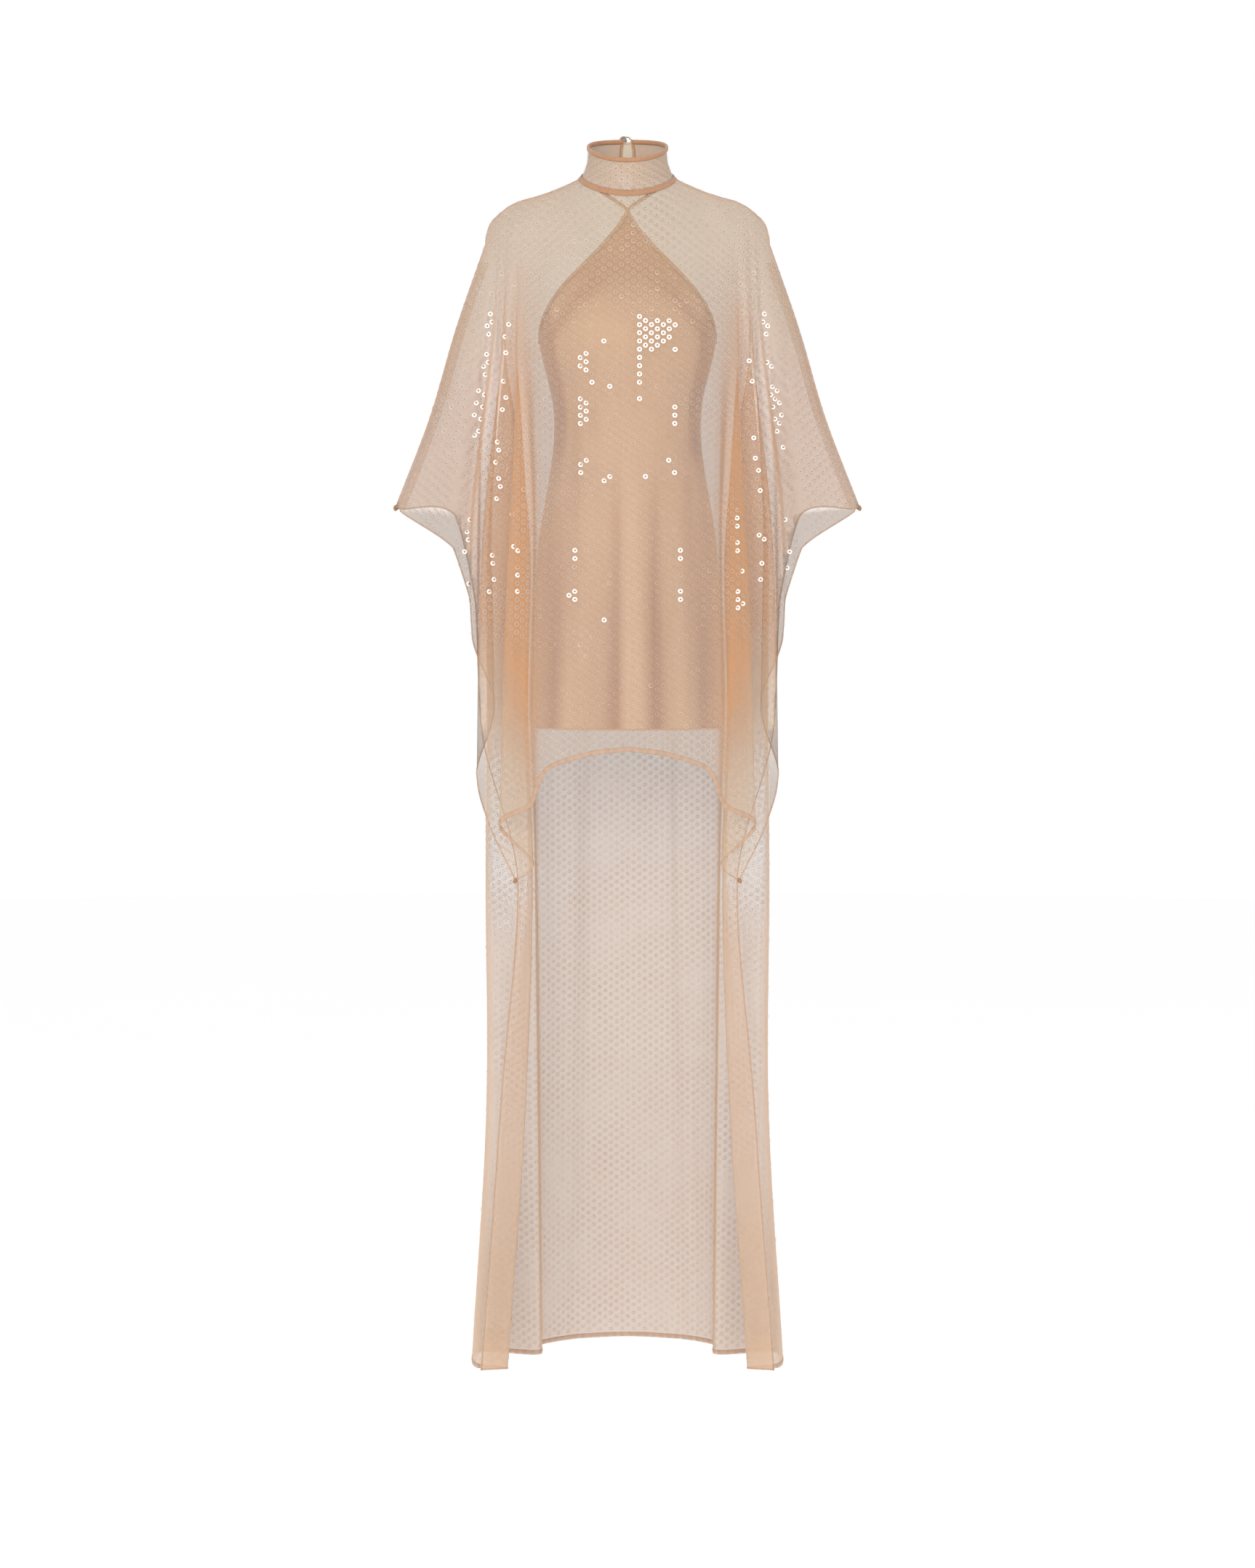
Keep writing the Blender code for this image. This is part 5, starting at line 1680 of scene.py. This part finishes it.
class KAFTAN_OT_collar(bpy.types.Operator):
    """Stand collar with its bindings, the band over the neck seam and its sequins"""
    bl_idname = "kaftan.collar"
    bl_label = "Collar"

    def execute(self, context):
        sizes, colours = context.scene.kaftan_sizes, context.scene.kaftan_colours
        columns, rows = COLLAR_GRID

        def place(column, row):
            height = 1.0 + (COLLAR_FOOT - 1.0) * row / rows
            return collar_point(collar_end_angle(height) * (2 * column / columns - 1.0), height)

        mesh = plain_net(grid_mesh("collar_cloth", columns, rows, place))
        cloth = add_piece("collar_cloth", mesh, tulle_finish(
            "collar tulle", 0.95, colours.tulle_collar, colours.tulle_collar,
            colours.tulle_folds, colours.tulle_collar))
        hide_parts("collar")

        trim = ribbed_finish("collar bindings", colours.binding, 0.0026, 0.97)
        rounds = [step / 80.0 - 1.0 for step in range(161)]
        path = []
        for angle in (collar_end_angle(1.0) * share for share in rounds):
            point, outward, up = collar_frame(angle, 1.0)
            wave = 0.0003 * noise.noise(Vector((angle * 0.25, 2.0, 0.0)))
            path.append((point - up * (COLLAR_BINDING * 0.42) + outward * wave, up, outward))
        rim = sweep("collar_rim_binding", path, COLLAR_BINDING, 3.3 * sizes.binding_thickness,
                    trim, 10)
        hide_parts("collar_top_binding")

        lines = [neck_band_line(collar_end_angle(0.0) * share) for share in rounds]
        mesh = grid_mesh("neck_band", 160, 4, lambda column, row: lines[column][row])
        band = add_piece("neck_band", mesh, ribbed_finish(
            "neck band", colours.binding, 0.0030, 0.96))
        wall = band.modifiers.new("Wall", "SOLIDIFY")
        wall.thickness = NECK_BAND_WALL
        wall.offset = 0.0
        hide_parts("neck_seam_band")
        centre = BACKWARDS * NECK_SETBACK
        for word, low, high in (("upper", 0, 1), ("lower", 4, 3)):
            path = edge_path([line[low] for line in lines], [line[high] for line in lines],
                             0.0012, 0.0005)
            path = [(p, i, n if n.dot(p - centre) > 0.0 else -n) for p, i, n in path]
            path = [(p + n * 0.0004, i, n) for p, i, n in path]
            stitches(f"neck_band_stitches_{word}", path, 0.0022, STITCH_GAP, 0.0005,
                     thread_finish(f"{word} band thread", scaled(colours.binding, 1.25)))
        for hand, word in HANDS:
            sweep(f"collar_end_binding_{word}", collar_end_path(hand), 1.35 * KEYHOLE_BINDING,
                  0.0022, trim)
        sequins = sequins_on("collar_sequins", collar_rows(), sizes, sequin_finish(
            "collar sequins", colours.sequin), random.Random(5), strength=1.25, scale=1.13)
        return {"FINISHED"}


def keyhole_path():
    """Path of the binding down one side of the keyhole, round its end and up the other side."""
    half_width = KEYHOLE_HALF_WIDTH + KEYHOLE_BINDING / 2
    radius = KEYHOLE_ROUND_RADIUS + KEYHOLE_BINDING / 2
    top_z = neck_seam(180.0).z - NECK_BAND * 0.4
    left = [(-half_width - (radius - half_width) * step / 16,
             top_z + (KEYHOLE_ROUND_Z - top_z) * step / 16) for step in range(16)]
    turns = [math.pi * (1.0 + step / 36) for step in range(37)]
    bottom = [(radius * math.cos(turn), KEYHOLE_ROUND_Z + radius * math.sin(turn))
              for turn in turns]
    spine = [BACK.beside_centre(x, z)
             for x, z in left + bottom + [(-x, z) for x, z in reversed(left)]]
    return [(point + normal * 0.0006, normal.cross(run).normalized(), normal)
            for (point, normal), run in zip(spine, runs([point for point, _ in spine]))]


def loop_path(seat):
    """Path of the cord: from the collar's right end round the button and back."""
    def end(share, rise):
        return Vector((0.0125 - 0.0105 * share, seat - 0.0004 + 0.0008 * share, BUTTON_Z + rise))

    shares = [step / 8 for step in range(9)]
    around = BUTTON_RADIUS + LOOP_RADIUS
    turns = [math.radians(62.0 + 236.0 * step / 26) for step in range(27)]
    spine = [
        *(end(share, 0.0066 * share ** 2 - 0.0017) for share in shares),
        *(Vector((BUTTON_X + around * math.cos(turn), seat + 0.0006,
                  BUTTON_Z + around * math.sin(turn))) for turn in turns),
        *(end(share, -0.0012 * share ** 2 - 0.0037) for share in reversed(shares)),
    ]
    return [(point, BACKWARDS.cross(run).normalized(), BACKWARDS)
            for point, run in zip(spine, runs(spine))]


class KAFTAN_OT_keyhole(bpy.types.Operator):
    """Keyhole binding, button and loop at the centre back"""
    bl_idname = "kaftan.keyhole"
    bl_label = "Keyhole and button"

    def execute(self, context):
        colours = context.scene.kaftan_colours
        piece = sweep("keyhole_edge", keyhole_path(), KEYHOLE_BINDING, 0.0016, ribbed_finish(
            "keyhole binding", colours.binding, 0.0026, 0.97))
        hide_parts("keyhole_binding")

        columns, rows = KEYHOLE_NET_GRID

        def behind(column, row):
            height = KEYHOLE_NET_TOP * (1.0 - row / rows)
            end = collar_end_angle(height) - 2.0
            point, outward, _ = collar_frame(end + 2.0 * (180.0 - end) * column / columns, height)
            return point - outward * 0.0012

        mesh = plain_net(grid_mesh("keyhole_net", columns, rows, behind))
        # The net behind the keyhole wears the yoke's colour with its painted light, made a little
        # darker.
        net = add_piece("keyhole_net", mesh, tulle_finish(
            "keyhole net", 0.80, scaled(colours.tulle_yoke, 0.85), colours.tulle_yoke,
            colours.tulle_yoke, colours.tulle_yoke))

        seat = collar_rim(180.0).y + 0.0019
        mesh = ringed_mesh("collar_button", BUTTON_PROFILE, 32, lambda ring, turn: (
            BUTTON_X + BUTTON_RADIUS * ring[0] * math.cos(turn),
            seat + BUTTON_THICKNESS / 2 * (1.0 + ring[1]),
            BUTTON_Z + BUTTON_RADIUS * ring[0] * math.sin(turn)))
        button = add_piece("collar_button", mesh, button_finish("button", colours.button))
        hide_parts("button")

        loop = sweep("loop", loop_path(seat + LOOP_RADIUS), 2 * LOOP_RADIUS, 2 * LOOP_RADIUS,
                     ribbed_finish("loop cord", scaled(colours.hem, 0.75), 0.0012, 1.0))
        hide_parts("button_loop")
        return {"FINISHED"}


def slip_path(side, spots, lift):
    """Path on the slip through places of (angle, height), with angles below 0 on the left."""
    path = []
    for angle, z in spots:
        point, normal = slip_point(side, abs(angle), z, -1 if angle < 0 else 1)
        path.append((point + normal * lift, UP, normal))
    return path


class KAFTAN_OT_slip(bpy.types.Operator):
    """The slip: front, back, side seams, darts and lower hem"""
    bl_idname = "kaftan.slip"
    bl_label = "Slip"

    def execute(self, context):
        colours = context.scene.kaftan_colours
        finish = slip_finish("slip cloth", colours.slip)
        seam_finish = ribbed_finish("slip seams", scaled(colours.slip, 0.85), 0.0030, 1.0)
        columns, rows = SLIP_GRID
        angles = [180.0 * column / columns - 90.0 for column in range(columns + 1)]
        for side, word in ((-1, "front"), (1, "back")):
            def place(column, row):
                angle = angles[column]
                top = slip_top(side, abs(angle))
                z = top + (SLIP_HEM_Z - top) * row / rows
                return slip_point(side, abs(angle), z, -1 if angle < 0 else 1)[0]

            name = f"slip_{word}_cloth"
            mesh = grid_mesh(name, columns, rows, place)
            # Painted shade of the slip, carried by its depth attribute
            set_attribute(mesh, "depth", [slip_painted_shade(side, angle, row / rows)
                                          for row in range(rows + 1) for angle in angles])
            piece = add_piece(name, mesh, finish)
            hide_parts(f"slip_{word}")
            sweep(f"slip_{word}_hem", slip_path(
                side, [(step * 1.5, SLIP_HEM_Z + 0.001) for step in SLIP_STEPS], 0.0002),
                0.0024, 0.0016, seam_finish)
            stitches(f"slip_{word}_hem_stitches", slip_path(
                side, [(step * 1.45, SLIP_HEM_Z + 0.012) for step in SLIP_STEPS], 0.0003),
                0.0024, 0.0012, 0.0005,
                thread_finish(f"slip {word} thread", scaled(colours.slip, 0.75)))
        sweep("slip_back_top_hem", slip_path(
            1, [(step * 1.5, slip_top(1, step * 1.5) - 0.001) for step in SLIP_STEPS], 0.0003),
            0.0036, 0.0014, seam_finish)
        for hand, word in HANDS:
            top = SLIP_SIDE_TOP_Z - 0.002
            seam = [(slip_point(-1, 90.0, top + (SLIP_HEM_Z - top) * step / 60, hand)[0],
                     BACKWARDS, Vector((float(hand), 0.0, 0.0))) for step in range(61)]
            sweep(f"slip_side_seam_{word}", seam, 0.0022, 0.0014, seam_finish)
            shares = [step / 16 for step in range(17)]
            # The dart is a little lighter than the slip: a painted highlight along it.
            sweep(f"slip_dart_{word}", slip_path(
                -1, [(hand * (84.0 - 34.0 * share), -0.232 + 0.014 * share) for share in shares],
                0.0003), lambda share: 0.0024 * (1.0 - 0.8 * share), 0.0013,
                ribbed_finish(f"{word} dart", scaled(colours.slip, 1.1), 0.002, 1.0))
        return {"FINISHED"}


class KAFTAN_OT_straps(bpy.types.Operator):
    """Bindings of the halter edge, which run on as crossed straps to the neck seam"""
    bl_idname = "kaftan.straps"
    bl_label = "Straps"

    def execute(self, context):
        sizes, colours = context.scene.kaftan_sizes, context.scene.kaftan_colours
        finish = ribbed_finish("strap bindings", scaled(colours.binding, 0.98), 0.0024, 1.0)
        thread = thread_finish("strap thread", scaled(colours.binding, 1.2))
        for hand, word in HANDS:
            path = strap_path(hand, 0.0014)
            strap = sweep(f"strap_binding_{word}", path, sizes.strap_width,
                          sizes.binding_thickness, finish)
            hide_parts(f"strap_{word}")
            for edge, offset in (("outer", 0.36), ("inner", -0.36)):
                line = [(point + across * (sizes.strap_width * offset)
                         + normal * (sizes.binding_thickness * 0.45), across, normal)
                        for point, across, normal in path]
                stitches(f"strap_stitches_{word}_{edge}", line, 0.0020, STITCH_GAP, 0.0004,
                         thread)
        return {"FINISHED"}


def place_in_scene(name, data, place):
    obj = bpy.data.objects.new(name, data)
    obj.location = place
    bpy.context.scene.collection.objects.link(obj)
    return obj


class KAFTAN_OT_studio(bpy.types.Operator):
    """Pale floor, soft light and the camera"""
    bl_idname = "kaftan.studio"
    bl_label = "Studio"

    def execute(self, context):
        scene = context.scene
        low = CAD_BOX[0][2] - FLOOR_DROP
        mesh = ringed_mesh("studio_floor", FLOOR_RINGS, 48, lambda reach, turn: (
            reach * math.cos(turn), -reach * math.sin(turn), low))
        mesh.shade_smooth()
        finish = Finish("studio floor")
        finish.set(Base_Color=finish.mix(finish.clouds(1.3), (0.99, 0.99, 0.99),
                                         (0.98, 0.98, 0.98)),
                   Roughness=0.95, Specular_IOR_Level=0.0)
        mesh.materials.append(finish.material)
        place_in_scene("studio_floor", mesh, (0.0, 0.0, 0.0))

        world = bpy.data.worlds.new("studio")
        scene.world = world
        world.use_nodes = True
        backdrop = world.node_tree.nodes["Background"]
        backdrop.inputs["Color"].default_value = (1.0, 1.0, 1.0, 1.0)
        backdrop.inputs["Strength"].default_value = 1.0

        for name, place, size, power in (
            ("key_lamp", KEY_LAMP, 1.1, 34.0),
            ("fill_lamp", FILL_LAMP, 1.2, 40.0),
        ):
            light = bpy.data.lights.new(name, "AREA")
            light.shape = "DISK"
            light.size = size
            light.energy = power
            lamp = place_in_scene(name, light, place)
            lamp.rotation_euler = (LAMP_AIM - place).to_track_quat("-Z", "Y").to_euler()

        data = bpy.data.cameras.new("photo_camera")
        data.lens = CAMERA_LENS
        data.sensor_width = 36.0
        data.shift_y = CAMERA_SHIFT
        scene.camera = place_in_scene("photo_camera", data, CAMERA_PLACE)
        scene.camera.rotation_euler = (math.pi / 2, 0.0, 0.0)
        scene.view_settings.view_transform = "Standard"
        scene.cycles.transparent_max_bounces = 32
        return {"FINISHED"}


class KAFTAN_PT_pieces(bpy.types.Panel):
    """Lists the pieces, their sizes and their colours"""
    bl_idname = "KAFTAN_PT_pieces"
    bl_label = "Sheer kaftan"
    bl_space_type = "VIEW_3D"
    bl_region_type = "UI"
    bl_category = "Kaftan"

    def draw(self, context):
        layout = self.layout
        for group in (context.scene.kaftan_sizes, context.scene.kaftan_colours):
            for name in group.__annotations__:
                layout.prop(group, name)
        for operator in OPERATORS:
            layout.operator(operator.bl_idname)


OPERATORS = (
    KAFTAN_OT_studio,
    KAFTAN_OT_back_panel,
    KAFTAN_OT_slip,
    KAFTAN_OT_straps,
    KAFTAN_OT_front_panel,
    KAFTAN_OT_shoulder_seams,
    KAFTAN_OT_collar,
    KAFTAN_OT_keyhole,
)
CLASSES = (KaftanSizes, KaftanColours, *OPERATORS, KAFTAN_PT_pieces)


def register():
    for cls in CLASSES:
        bpy.utils.register_class(cls)
    bpy.types.Scene.kaftan_sizes = bpy.props.PointerProperty(type=KaftanSizes)
    bpy.types.Scene.kaftan_colours = bpy.props.PointerProperty(type=KaftanColours)


def unregister():
    del bpy.types.Scene.kaftan_colours
    del bpy.types.Scene.kaftan_sizes
    for cls in reversed(CLASSES):
        bpy.utils.unregister_class(cls)


def main():
    register()
    bpy.ops.kaftan.studio()
    bpy.ops.kaftan.back_panel()
    bpy.ops.kaftan.slip()
    bpy.ops.kaftan.straps()
    bpy.ops.kaftan.front_panel()
    bpy.ops.kaftan.shoulder_seams()
    bpy.ops.kaftan.collar()
    bpy.ops.kaftan.keyhole()


if __name__ == "__main__":
    main()
